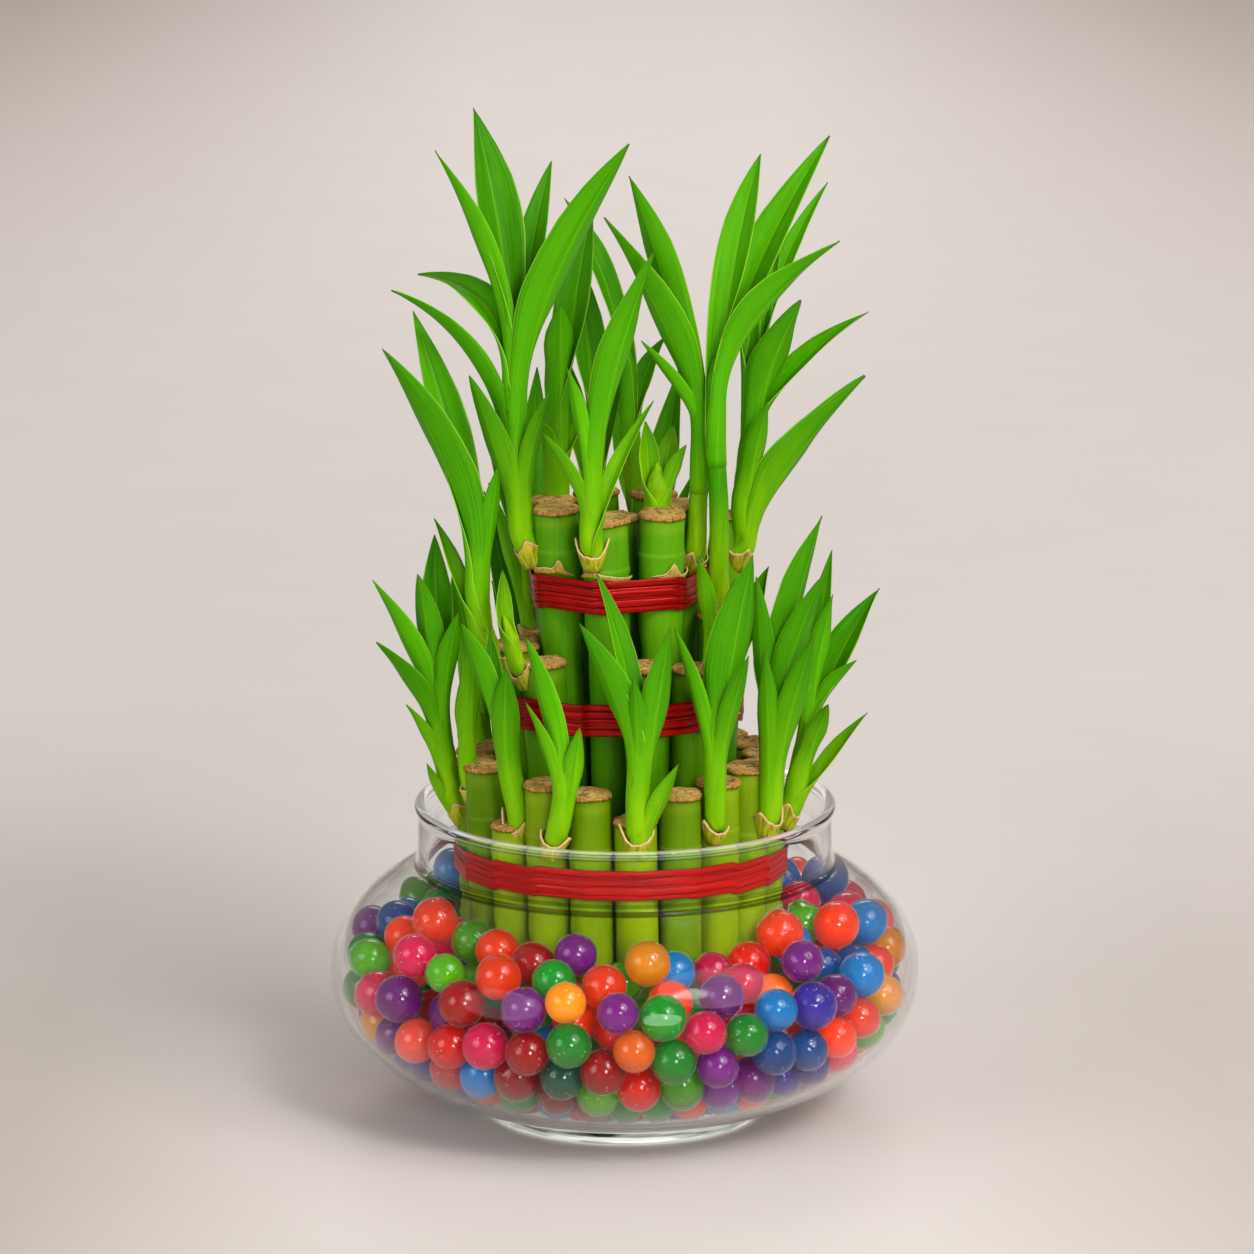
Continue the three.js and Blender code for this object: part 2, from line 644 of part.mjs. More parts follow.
function materialOf(name) {
  return new THREE.MeshStandardMaterial(COLOURS[name]);
}

function addMesh(group, name, geometry, finish) {
  const mesh = new THREE.Mesh(geometry, materialOf(finish));
  mesh.name = name;
  group.add(mesh);
}

// The nearest way round between two angles
function apart(a, b) {
  const turn = (((a - b) % 360) + 540) % 360 - 180;
  return Math.abs(turn);
}

function stalkTop(tierName, angle) {
  const own = Object.entries(OTHER_TOPS[tierName]).find(([at]) => apart(angle, Number(at)) < SAME_ANGLE);
  return own ? own[1] : TIERS[tierName].top;
}

function addStalks(group) {
  const shoots = allShoots();
  for (const [tierName, tier] of Object.entries(TIERS)) {
    for (let i = 0; i < tier.count; i += 1) {
      const angle = tier.firstAngle + (360 / tier.count) * i;
      const here = (other) => apart(angle, other) < SAME_ANGLE;
      if (tierName === "middle" && here(EMPTY_MIDDLE_ANGLE)) {
        continue;
      }
      const own = shoots.filter((shoot) => shoot.tier === tierName && here(shoot.angle));
      const nodeZ = tier.nodeZ - NODE_STAGGER * (i % 2);
      const splay = tierName === "middle" && here(SPLAYED_MIDDLE_ANGLE) ? SPLAY : 0;
      const thin = tierName === "middle" && THIN_MIDDLE_ANGLES.some(here);
      const girth = thin ? { ...tier, highRadius: tier.radius } : tier;
      const middleAt = (z) => splayedPoint(tier, angle, z, splay);
      const stalk = stalkSolid(girth, stalkTop(tierName, angle), nodeZ, middleAt);
      const solid = joined([stalk, ...own.flatMap(shootSolids)]);
      const number = String(i + 1).padStart(2, "0");
      addMesh(group, `stalk_${tierName}_${number}`, geometryOf(solid), tierName);
    }
  }
  const coreAt = (z) => new THREE.Vector3(bundleX(z), 0, z);
  const core = stalkSolid(TIERS.top, CORE_TOP, TIERS.top.nodeZ, coreAt);
  addMesh(group, "stalk_core", geometryOf(core), "top");
}

const plant = new THREE.Group();
addMesh(plant, "glass_bowl", geometryOf(orientedSolid(bowlGeometry())), "glass");
addMesh(plant, "water_beads", geometryOf(beadBedSolid()), "beads");
for (const tierName of Object.keys(TIES)) {
  addMesh(plant, `tie_${tierName}`, geometryOf(orientedSolid(tieGeometry(tierName))), "ribbon");
}
addStalks(plant);

export default plant;
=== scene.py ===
# %% [markdown]
# # A lucky bamboo tower in a glass bowl
#
# Lucky bamboo is sold as cut lengths of green stalk, tied in tiers round a middle stalk. New
# shoots grow from the nodes near each cut. This one stands in a squat clear bowl, and coloured
# water beads hold it upright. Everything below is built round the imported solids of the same
# plant, in the same frame: metres, +Z up, the front towards -Y.

import math
import random

import bpy
import numpy as np
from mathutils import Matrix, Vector


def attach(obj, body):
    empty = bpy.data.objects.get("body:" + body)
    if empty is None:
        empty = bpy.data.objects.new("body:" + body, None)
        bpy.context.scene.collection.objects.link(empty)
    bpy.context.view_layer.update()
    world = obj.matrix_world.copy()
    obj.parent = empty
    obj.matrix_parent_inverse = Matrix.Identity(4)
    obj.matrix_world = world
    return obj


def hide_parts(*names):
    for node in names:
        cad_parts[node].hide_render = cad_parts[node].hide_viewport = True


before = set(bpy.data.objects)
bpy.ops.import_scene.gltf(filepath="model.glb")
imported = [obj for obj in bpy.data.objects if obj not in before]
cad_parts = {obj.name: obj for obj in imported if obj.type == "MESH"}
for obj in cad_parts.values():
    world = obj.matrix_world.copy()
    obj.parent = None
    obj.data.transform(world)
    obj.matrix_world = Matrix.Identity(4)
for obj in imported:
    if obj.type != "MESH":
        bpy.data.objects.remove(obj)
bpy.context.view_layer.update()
MM = 0.001

# %% [markdown]
# ## The sizes that the solids were made from
#
# The pieces here have to sit where the solids sit, so the same rules are repeated in millimetres.
# Three rings of stalks lean a little outwards as they rise, and the whole bundle leans to the
# left. A tier says how thick and how many its stalks are, at what angle the first one stands, how
# wide its ring is and spreads, and how high its tops and its uppermost nodes are.

# %% Sizes of the bowl, the stalks and the ties
BODY_RADIUS, BODY_HALF_HEIGHT, BODY_MIDDLE_Z, BODY_SQUARENESS = 73.5, 36.7, 36.5, 2.15
GLASS_WALL, FLOOR_Z = 2.0, 7.4
NECK_RADIUS, RIM_RADIUS, RIM_TOP_Z = 51.6, 52.4, 79.5
GAP = 0.3
STALK_FOOT_Z = 8.0
BUNDLE_LEAN = -0.0157
NODE_STAGGER = 3
TIERS = {
    "bottom": dict(radius=5.3, count=20, first=6, ring=34.2, spread=0.022, top=91, node=79),
    "middle": dict(radius=4.9, count=12, first=15, ring=22.7, spread=0.0262, top=119, node=115.5,
                   high_radius=5.35, swell_z=95),
    "top": dict(radius=4.9, count=7, first=-60, ring=12.0, spread=0.0324, top=155, node=145,
                high_radius=5.65, swell_z=121.5),
}
SWELL_LENGTH, THIN_MIDDLE_ANGLES, SAME_PLACE = 4, (45, -105, -165), 2
OTHER_TOPS = {
    "bottom": {-48: 80, -30: 92, -12: 90.5, 6: 84, 24: 90, 42: 91.5, 60: 93, -66: 92.5},
    "middle": {-75: 121, 75: 129, 105: 151, -45: 119.5, 15: 120, 45: 118},
    "top": {-60: 156, -9: 155, 43: 155.5},
}
CORE_TOP = 152
EMPTY_MIDDLE_ANGLE, SPLAYED_MIDDLE_ANGLE, SPLAY, SPLAY_FROM_Z = -15, 105, 0.085, 110
TIE_TILT = 0.078
TIES = {"bottom": (65.5, 7.5), "middle": (105.6, 8.0), "top": (134.8, 8.0)}
print("rings of stalks:", {name: tier["count"] for name, tier in TIERS.items()})

# %% Places on the rings of stalks
def bundle_x(z):
    return BUNDLE_LEAN * (z - STALK_FOOT_Z)


def ring_point(tier, angle, z, splay=0.0):
    """A point of a ring, at an angle from the front with right positive, at a height."""
    reach = tier["ring"] + tier["spread"] * (z - STALK_FOOT_Z) + max(0.0, z - SPLAY_FROM_Z) * splay
    a = math.radians(angle)
    return np.array([bundle_x(z) + reach * math.sin(a), -reach * math.cos(a), z])


def stalk_radius(tier, z, thin=False):
    """Above the tier outside it a stalk is thicker, unless it stands right behind another."""
    if thin or "swell_z" not in tier:
        return tier["radius"]
    share = min(max((z - tier["swell_z"]) / SWELL_LENGTH, 0.0), 1.0)
    return tier["radius"] + (tier["high_radius"] - tier["radius"]) * share


def same_place(a, b):
    """Whether two angles, in degrees, are the same stalk's place on a ring."""
    return abs((a - b + 180) % 360 - 180) < SAME_PLACE


def stalk_list(tier_name):
    """(node name, angle, top, node height, splay, thin) of each stalk of a tier."""
    tier, stalks = TIERS[tier_name], []
    for i in range(tier["count"]):
        angle = tier["first"] + 360 / tier["count"] * i
        if tier_name == "middle" and same_place(angle, EMPTY_MIDDLE_ANGLE):
            continue
        own = [top for at, top in OTHER_TOPS[tier_name].items() if same_place(at, angle)]
        in_middle, node_z = tier_name == "middle", tier["node"] - NODE_STAGGER * (i % 2)
        splay = SPLAY if in_middle and same_place(angle, SPLAYED_MIDDLE_ANGLE) else 0.0
        thin = in_middle and any(same_place(angle, at) for at in THIN_MIDDLE_ANGLES)
        stalks.append((f"stalk_{tier_name}_{i + 1:02d}", angle, own[0] if own else tier["top"],
                       node_z, splay, thin))
    return stalks


print("stalks:", sum(len(stalk_list(name)) for name in TIERS) + 1)

# %% [markdown]
# ## The shoots
#
# Each shoot leaves its stalk at a node, turns upwards and carries blade-shaped leaves. A shoot is
# written as its tier and the angle of its stalk, how thick it is low and high, the points its
# stem passes, and its leaves: the place along the stem, the tip, the width, and how far the leaf
# follows the stem before it bends away. Shoots on the far side repeat front ones, carried round
# the bundle.

# %% The list of shoots
SHOOTS = [
    ("top", -60, (3, 2.3),
     [(-18, -8, 143), (-24, -8, 146), (-26, -8, 157), (-27, -8, 182), (-27, -8, 197)],
     [(1, -37, 3, 253, 10.5, 24), (0.95, -46, -12, 245, 6.5, 20), (0.9, -18, 8, 239, 6.5, 22),
      (0.75, 1, -20, 248, 11, 24), (0.85, -51, 12, 210, 8.5, 22), (0.6, -57, -9, 210, 6.5, 30),
      (0.45, -38, -15, 190, 6.5, 12), (0.5, -18, -17, 187, 4.5, 10)]),
    ("top", -111, (3.2, 2.6),
     [(-17, 6, 142), (-17, 11, 148), (-17, 12, 165), (-17, 12, 180)],
     [(0.95, -16, 10, 203, 7, 12), (0.6, -22, 5, 174, 4, 10), (0.6, -10, 13, 173, 4, 8),
      (0.9, -8, 18, 226, 8.5, 20)]),
    ("top", -9, (2.9, 2.2),
     [(-5, -16, 145), (-8, -21, 148), (-8, -22, 158), (-8, -22, 168)],
     [(0.95, 7, -29, 223, 9, 22), (0.35, 7, -16, 184, 4, 14), (0.95, -14, -26, 194, 4, 12),
      (0.6, -20, -26, 178, 4, 8)]),
    ("top", 43, (3, 3),
     [(9, -10, 144), (8, -5, 150), (8, -5, 160)],
     [(0.8, 5, -2, 176, 5, 8), (0.8, 15, -7, 171, 4.5, 7), (0.8, 12, 3, 174, 5, 7)]),
    ("top", 94, (2.8, 2.2),
     [(14, -1, 139), (17, -6, 144), (18, -6, 157), (19, -7, 175), (18, -8, 185)],
     [(0.9, 1, -13, 239, 8.5, 26), (0.75, -5, -20, 230, 9.5, 20), (0.8, 4, -17, 199, 4, 6)]),
    ("middle", 75, (2.9, 2.2),
     [(23, -7, 124), (23, -10, 133), (23, -12, 157), (22, -12, 175), (22, -12, 188)],
     [(0.9, 52, -19, 224, 10, 20), (1, 33, -5, 243, 8, 26), (0.95, 50, 4, 246, 9.5, 22)]),
    ("middle", 105, (2.9, 2.1),
     [(24, 6, 138), (29, 4, 143), (29, 3, 155), (31, 3, 172), (31, 3, 182)],
     [(1, 29, 5, 232, 6.5, 18), (1, 50, 18, 232, 4.5, 26), (0.95, 39, 13, 224, 5, 20),
      (0.8, 43, -6, 207, 9.5, 12), (0.75, 60, 10, 201, 6, 14), (0.5, 35, -7, 182, 5.5, 10),
      (0.3, 59, 0, 187, 12, 14)]),
    ("top", 145, (2.8, 2),
     [(6, 14, 142), (3, 18, 150), (1, 18, 172), (1, 18, 184)],
     [(0.95, -15, 24, 227, 6, 22), (0.6, 10, 24, 192, 5, 14)]),
    ("top", -163, (2.8, 2),
     [(-7, 15, 141), (-8, 21, 147), (-7, 22, 168)],
     [(0.95, -12, 26, 212, 8, 18), (0.6, -18, 30, 192, 6, 14), (0.7, 0, 31, 196, 6, 14)]),
    ("middle", -75, (3, 2.6),
     [(-27, -7, 114), (-33, -9, 119), (-36, -10, 130), (-36, -10, 146)],
     [(0.95, -59, -17, 197, 11.5, 18), (0.85, -52, 1, 203, 9, 24),
      (0.9, -31, -13, 167, 4.5, 10), (0.6, -47, -4, 152, 4, 10)]),
    ("middle", -45, (2.4, 1.8),
     [(-20, -18, 114), (-26, -19, 118), (-28, -19, 125)],
     [(0.9, -30, -18, 142, 4.5, 6)]),
    ("middle", 45, (2.6, 2.2),
     [(17, -17, 113), (21, -19, 117), (22, -19, 126)],
     [(0.9, 18, -22, 146, 4.5, 8), (0.7, 27, -18, 140, 4, 6)]),
    ("middle", -135, (2.8, 2.2),
     [(-20, 18, 113), (-23, 22, 118), (-24, 23, 134)],
     [(0.9, -36, 32, 176, 8, 16), (0.8, -22, 36, 182, 8, 18), (0.6, -34, 19, 156, 5, 10)]),
    ("middle", 165, (2.8, 2.2),
     [(5, 25, 113), (6, 30, 118), (6, 31, 136)],
     [(0.9, -4, 40, 178, 8, 16), (0.8, 14, 38, 182, 8, 18), (0.6, 17, 38, 154, 5, 10)]),
    ("bottom", -84, (2.8, 2.2),
     [(-37, -4, 75), (-42, -5, 80), (-44, -5, 89), (-46, -5, 101), (-46, -5, 111)],
     [(0.8, -62, -11, 138, 6.5, 12), (0.7, -61, -18, 124, 6, 10), (1, -47, 0, 147, 7.5, 12),
      (0.95, -51, -9, 139, 6.5, 12), (0.8, -41, -12, 130, 5, 10), (0.5, -54, -9, 106, 4, 8),
      (0.2, -49, -9, 91, 3.5, 4)]),
    ("bottom", -66, (2.6, 1.9),
     [(-34, -14, 82), (-38, -13, 87), (-39, -13, 98)],
     [(0.9, -40, -14, 115, 4, 6), (0.9, -37, -16, 124, 5, 10)]),
    ("bottom", -48, (3, 2.4),
     [(-27, -24, 75), (-26, -27, 82), (-28, -28, 93), (-30, -28, 108)],
     [(0.9, -40, -31, 132, 7, 10), (0.7, -29, -33, 121, 6.5, 8), (0.9, -33, -24, 128, 4.5, 10)]),
    ("bottom", -30, (2.8, 2.2),
     [(-18, -33, 77), (-17, -39, 80), (-15, -41, 90), (-15, -41, 99)],
     [(0.9, -24, -43, 131, 7.5, 12), (0.7, -24, -44, 115, 4, 8), (0.6, -11, -45, 109, 5, 8)]),
    ("bottom", 6, (3, 2.2),
     [(3, -36, 76), (3, -40, 81), (3, -41, 91), (4, -41, 105)],
     [(0.8, -11, -45, 135, 8.5, 14), (0.95, -7, -38, 146, 6, 16),
      (0.75, 11, -45, 134, 7.5, 12), (0.9, 2, -46, 122, 4, 6), (0.25, 13, -45, 100, 5, 6)]),
    ("bottom", 42, (2.8, 2.2),
     [(22, -27, 77), (22, -31, 81), (22, -33, 90), (22, -33, 105)],
     [(0.9, 31, -37, 150, 10.5, 18), (0.85, 12, -37, 132, 5, 10), (0.8, 30, -41, 126, 5, 10)]),
    ("bottom", 60, (3, 2.2),
     [(31, -19, 76), (35, -21, 80), (36, -22, 91), (36, -22, 110)],
     [(0.95, 48, -24, 157, 10, 18), (0.9, 48, -33, 144, 7, 14), (0.9, 32, -25, 142, 6, 12),
      (0.6, 46, -34, 129, 6.5, 14), (0.6, 34, -31, 125, 5, 12)]),
    ("bottom", 78, (2.8, 2),
     [(36, -7, 75), (41, -8, 80), (43, -8, 89), (45, -8, 99), (45, -8, 107)],
     [(1, 51, -4, 144, 5.5, 12), (0.9, 51, -14, 135, 6, 10), (0.8, 63, 2, 133, 8.5, 10),
      (0.8, 57, -12, 118, 4.5, 8), (0.3, 60, -5, 103, 4, 8), (0.5, 50, -17, 108, 5.5, 8)]),
]
CARRIED = [(-66, 180), (-48, 180), (-30, 180), (6, 180), (42, 180), (-48, -72)]


def carried(shoot, degrees):
    """A shoot taken round the leaning bundle to another stalk."""
    tier, angle, girth, stem, leaves = shoot
    turn = math.radians(degrees)

    def carry(x, y, z):
        across = x - bundle_x(z)
        return (bundle_x(z) + across * math.cos(turn) - y * math.sin(turn),
                across * math.sin(turn) + y * math.cos(turn), z)

    moved = [(at, *carry(x, y, z), width, follow) for at, x, y, z, width, follow in leaves]
    return (tier, angle + degrees, girth, [carry(*p) for p in stem], moved)


for source, degrees in CARRIED:
    original = next(s for s in SHOOTS if s[0] == "bottom" and s[1] == source)
    SHOOTS.append(carried(original, degrees))
print("shoots:", len(SHOOTS), "leaves:", sum(len(s[4]) for s in SHOOTS))

# %% A smooth curve through the points of a stem
SMALL_STEP = 1e-3


def stem_curve(points):
    """A centripetal Catmull-Rom curve as a function of 0 to 1, the same one the solids follow."""
    p = [np.array(q, float) for q in points]
    p = [2 * p[0] - p[1], *p, 2 * p[-1] - p[-2]]

    def at(share):
        place = min(max(share, 0.0), 1.0) * (len(p) - 3)
        i = min(int(place), len(p) - 4)
        w = place - i
        a, b, c, d = p[i:i + 4]
        k0, k1, k2 = (np.sum((v - u) ** 2) ** 0.25 for u, v in ((a, b), (b, c), (c, d)))
        t1 = ((b - a) / k0 - (c - a) / (k0 + k1) + (c - b) / k1) * k1
        t2 = ((c - b) / k1 - (d - b) / (k1 + k2) + (d - c) / k2) * k1
        square, cube = 3 * (c - b) - 2 * t1 - t2, 2 * (b - c) + t1 + t2
        return b + t1 * w + square * w ** 2 + cube * w ** 3

    return at


def heading(curve, share):
    """The direction of a curve at a place on it."""
    low, high = max(share - SMALL_STEP, 0.0), min(share + SMALL_STEP, 1.0)
    way = curve(high) - curve(low)
    return way / np.linalg.norm(way)


print("first stem, halfway:", np.round(stem_curve(SHOOTS[0][3])(0.5), 1))

# %% [markdown]
# ## Writing node trees as formulas
#
# Materials and geometry trees are both networks of nodes. Two small classes let the script write
# them as formulas: `Wire` is a socket that can be added and multiplied, and `Sheet` makes any
# node from its type, its settings and the values of its sockets. Numbers go through Math nodes,
# colours through Mix nodes and places through Vector Math.

# %% Wires and sheets
class Wire:
    """An output socket that takes part in sums."""

    def __init__(self, sheet, socket):
        self.sheet, self.socket = sheet, socket

    def math(self, operation, *values, clamp=False):
        settings = {"operation": operation, "use_clamp": clamp}
        return self.sheet.node("ShaderNodeMath", settings, dict(enumerate(values)))

    def __add__(self, other):
        return self.math("ADD", self, other)

    def __sub__(self, other):
        return self.math("SUBTRACT", self, other)

    def __rsub__(self, other):
        return self.math("SUBTRACT", other, self)

    def __mul__(self, other):
        return self.math("MULTIPLY", self, other)

    def __truediv__(self, other):
        return self.math("DIVIDE", self, other)

    def __abs__(self):
        return self.math("ABSOLUTE", self)

    __radd__, __rmul__ = __add__, __mul__

    def sine(self):
        return self.math("SINE", self)

    def most(self, other):
        return self.math("MAXIMUM", self, other)

    def within(self, low, high):
        """0 below low, 1 above high and a straight ramp between."""
        return self.math("MULTIPLY", self - low, 1.0 / (high - low), clamp=True)


class Sheet:
    """A node tree that is being written."""

    def __init__(self, tree):
        self.tree = tree

    def node(self, kind, settings=None, values=None, out=0):
        made = self.tree.nodes.new(kind)
        for name, value in (settings or {}).items():
            setattr(made, name, value)
        for name, value in (values or {}).items():
            self.feed(made.inputs[name], value)
        return Wire(self, made.outputs[out])

    def feed(self, socket, value):
        if isinstance(value, Wire):
            self.tree.links.new(value.socket, socket)
        else:
            socket.default_value = value

    def split(self, place):
        """The three numbers of a place or a direction."""
        made = self.node("ShaderNodeSeparateXYZ", None, {0: place})
        return [Wire(self, socket) for socket in made.socket.node.outputs]

    def dot(self, first, second):
        """How much of one direction lies along another."""
        return self.node("ShaderNodeVectorMath", {"operation": "DOT_PRODUCT"},
                         {0: first, 1: second}, out=1)


def paint(code):
    """A colour written as six hex digits, as Blender's linear red, green, blue and alpha."""
    shares = [int(code[i:i + 2], 16) / 255 for i in (0, 2, 4)]
    linear = [s / 12.92 if s <= 0.04045 else ((s + 0.055) / 1.055) ** 2.4 for s in shares]
    return (*linear, 1.0)


print("mid green is", [round(v, 3) for v in paint("4f9410")])

# %% Finishes
class Finish(Sheet):
    """A material that is being written, with the patterns the plant's finishes share."""

    def __init__(self, name, **constants):
        self.material = bpy.data.materials.new(name)
        self.material.use_nodes = True
        super().__init__(self.material.node_tree)
        self.shader = self.tree.nodes["Principled BSDF"]
        self.output = self.tree.nodes["Material Output"]
        for socket, value in constants.items():
            self.shader.inputs[socket.replace("_", " ")].default_value = value

    def attribute(self, name, out=2):
        return self.node("ShaderNodeAttribute", {"attribute_name": name}, out=out)

    def stretched(self, where, factors):
        return self.node("ShaderNodeVectorMath", {"operation": "MULTIPLY"}, {0: where, 1: factors})

    def places(self, stretch=(1, 1, 1)):
        """Object coordinates in millimetres, each axis times a factor."""
        where = self.node("ShaderNodeTexCoord", out=3)
        return self.stretched(where, tuple(s / MM for s in stretch))

    def noise(self, where, scale, detail=3.0, roughness=0.55):
        values = {"Vector": where, "Scale": scale, "Detail": detail, "Roughness": roughness}
        return self.node("ShaderNodeTexNoise", None, values)

    def mix(self, factor, first, second):
        """Two colours mixed. A colour may be a wire, four numbers or six hex digits."""
        first, second = (paint(c) if isinstance(c, str) else c for c in (first, second))
        values = {0: factor, 6: first, 7: second}
        return self.node("ShaderNodeMix", {"data_type": "RGBA"}, values, out=2)

    def layered(self, base, *layers):
        """Colours laid over a base one after another, each through its own mask."""
        for mask, colour in layers:
            base = self.mix(mask, base, colour)
        return base

    def bump(self, height, distance, strength=1.0):
        values = {"Height": height, "Distance": distance * MM, "Strength": strength}
        self.wear("Normal", self.node("ShaderNodeBump", None, values))

    def wear(self, socket, value):
        self.feed(self.shader.inputs[socket], value)


def lit_through(finish, colour, share=1.0):
    """Lets lamps shine through a clear piece, so that what is behind it isn't left in the dark."""
    shadow = finish.node("ShaderNodeLightPath", out=1)
    clear = finish.node("ShaderNodeBsdfTransparent", None, {"Color": colour})
    solid = Wire(finish, finish.shader.outputs[0])
    mixed = finish.node("ShaderNodeMixShader", None, {0: shadow * share, 1: solid, 2: clear})
    finish.feed(finish.output.inputs["Surface"], mixed)


print("ready to write finishes")

# %% [markdown]
# ## Geometry trees and plain meshes
#
# What repeats or follows a path is grown by Geometry Nodes: the script draws a few points or
# lines, a tree turns them into the piece, and the result is kept as a plain mesh. `Growth` is a
# tree with named inputs that ends by realizing its instances and setting the finish.

# %% Plain meshes
def plain_mesh(name, points, faces=(), edges=(), **attributes):
    """A mesh from points in millimetres, with numbers or colours on its points."""
    mesh = bpy.data.meshes.new(name)
    mesh.from_pydata([tuple(p) for p in np.asarray(points, float) * MM], edges, faces)
    for label, values in attributes.items():
        values = np.asarray(values, np.float32)
        kind, key = ("FLOAT_COLOR", "color") if values.ndim == 2 else ("FLOAT", "value")
        made = mesh.attributes.new(label, kind, "POINT")
        made.data.foreach_set(key, values.ravel())
    return mesh


def added(name, data):
    """An object of the scene, at the origin, that shows a mesh, a lamp or a camera."""
    thing = bpy.data.objects.new(name, data)
    bpy.context.scene.collection.objects.link(thing)
    return thing


def shown(name, mesh, finish):
    """A mesh as a smooth piece with a finish."""
    mesh.materials.append(finish.material)
    mesh.polygons.foreach_set("use_smooth", [True] * len(mesh.polygons))
    return added(name, mesh)


print("ready to make plain meshes")

# %% Growths, and what is said of every piece
class Growth(Sheet):
    """A geometry tree that is being written."""

    def __init__(self, name, **inputs):
        tree = bpy.data.node_groups.new(name, "GeometryNodeTree")
        for way in ("INPUT", "OUTPUT"):
            tree.interface.new_socket("Geometry", in_out=way, socket_type="NodeSocketGeometry")
        inputs["Finish"] = "Material"
        for label, kind in inputs.items():
            tree.interface.new_socket(label, in_out="INPUT", socket_type="NodeSocket" + kind)
        super().__init__(tree)
        self.entry = tree.nodes.new("NodeGroupInput")
        self.exit = tree.nodes.new("NodeGroupOutput")

    def given(self, label):
        return Wire(self, self.entry.outputs[label])

    def written(self, name):
        """A number that the script wrote on the points."""
        return self.node("GeometryNodeInputNamedAttribute", {"data_type": "FLOAT"}, {0: name})

    def marked(self, geometry, name, value):
        """Writes a number on the points, which the finish can read."""
        return self.node("GeometryNodeStoreNamedAttribute", {"data_type": "FLOAT"},
                         {0: geometry, "Name": name, "Value": value})

    def ends_in(self, geometry):
        whole = self.node("GeometryNodeRealizeInstances", None, {0: geometry})
        dressed = self.node("GeometryNodeSetMaterial", None, {0: whole, 2: self.given("Finish")})
        self.feed(self.exit.inputs[0], dressed)

    def grow(self, name, source, finish, **values):
        """Runs the tree on a mesh and returns the result as a plain mesh piece."""
        values["Finish"] = finish.material
        seed = added(name + "_lines", source)
        modifier = seed.modifiers.new("growth", "NODES")
        modifier.node_group = self.tree
        for item in self.tree.interface.items_tree:
            if item.in_out == "INPUT" and item.name in values:
                modifier[item.identifier] = values[item.name]
        depsgraph = bpy.context.evaluated_depsgraph_get()
        mesh = bpy.data.meshes.new_from_object(seed.evaluated_get(depsgraph))
        bpy.data.objects.remove(seed)
        mesh.name = name
        return added(name, mesh)


def triangles(piece):
    return sum(len(face.vertices) - 2 for face in piece.data.polygons)


def place(piece, slot, nodes):
    """Every piece rides on the one body and stands for its nodes. The slot is not used."""
    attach(piece, "root")
    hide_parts(*nodes)
    print(piece.name, "for", len(nodes), "nodes,", triangles(piece), "triangles")


print("ready to grow")

# %% [markdown]
# ## The bowl
#
# The bowl is blown glass: a squat round body, a short upright neck with a thickened rim, and a
# low foot. It could be a sphere that is sliced and flattened, but glass needs an inside as well,
# because light bends at both faces. So one closed profile, up the outside and down the inside, is
# turned round the upright axis. The thin bright lines of rim and foot and the thin brown ones
# where the glass bends are too fine for shape. The finish draws them by height, and the foot's
# broken streaks as well: the bright lines and streaks are painted highlights that glow, and the
# brown lines are painted dark reflections.

# %% The glass
# Each line: its level, half its width, both in millimetres, and its strength.
# Painted highlights: thin bright lines round the foot and the rim, shown as glow.
PAINTED_HIGHLIGHT_LINES = [(0.3, 0.35, 1.0), (77.9, 0.2, 0.5), (79.3, 0.3, 1.0)]
# Painted reflections: thin dark brown lines where the glass bends and in the foot's groove.
PAINTED_REFLECTION_LINES = [(4.65, 0.5, 1.0), (63.7, 0.5, 1.0), (65.6, 0.35, 0.8), (77.3, 0.3, 0.6)]


def drawn(height, lines):
    """The lines' strengths where they run round the bowl, 0 elsewhere."""
    whole = 0.0
    for level, half, strength in lines:
        mark = (1 - (abs(height - level) / half).within(0.5, 1.0)) * strength
        whole = mark.most(whole)
    return whole


glass = Finish("clear_bowl_glass", Roughness=0.0, IOR=1.12, Transmission_Weight=1.0,
               Specular_IOR_Level=0.1, Coat_Roughness=0.04, Coat_IOR=1.6, Emission_Strength=0.4)
height = glass.split(glass.places())[2]
# Painted highlights: the foot's broken bright streaks and the bright lines, which glow through the
# emission.
streaks = glass.noise(glass.places((0.045, 0.045, 0.9)), 1.0, 2.0)
on_foot = (1 - height.within(3.9, 4.4)) * height.within(0.6, 1.0)
lights = (streaks.within(0.46, 0.56) * on_foot).most(drawn(height, PAINTED_HIGHLIGHT_LINES))
# The painted dark reflections, mixed into the glass's colour.
painted_reflections = drawn(height, PAINTED_REFLECTION_LINES)
glass.wear("Base Color", glass.mix(painted_reflections * 0.95, (0.985, 0.995, 0.99, 1), "54432a"))
glass.wear("Emission Color", glass.mix(lights, (0, 0, 0, 1), "fbf8f4"))
aslant = glass.node("ShaderNodeLayerWeight", None, {"Blend": 0.5}, out=1)
glass.wear("Coat Weight", aslant.within(0.3, 0.9) * 0.94 + 0.06)
glass.bump(glass.noise(glass.places(), 0.045, 1.0), 0.2, 0.15)
lit_through(glass, (0.97, 0.98, 0.975, 1))
print("glass finish written")

# %% The profile and the turned bowl
def body_radius(z, inset=0.0):
    height = min(abs(z - BODY_MIDDLE_Z) / (BODY_HALF_HEIGHT - inset), 1.0)
    share = (1 - height ** BODY_SQUARENESS) ** (1 / BODY_SQUARENESS)
    return (BODY_RADIUS - inset) * share


def body_curve(from_z, to_z, inset, steps):
    half = BODY_HALF_HEIGHT - inset
    ends = [math.asin((z - BODY_MIDDLE_Z) / half) for z in (from_z, to_z)]
    heights = BODY_MIDDLE_Z + half * np.sin(np.linspace(*ends, steps + 1))
    return [(body_radius(z, inset), z) for z in heights]


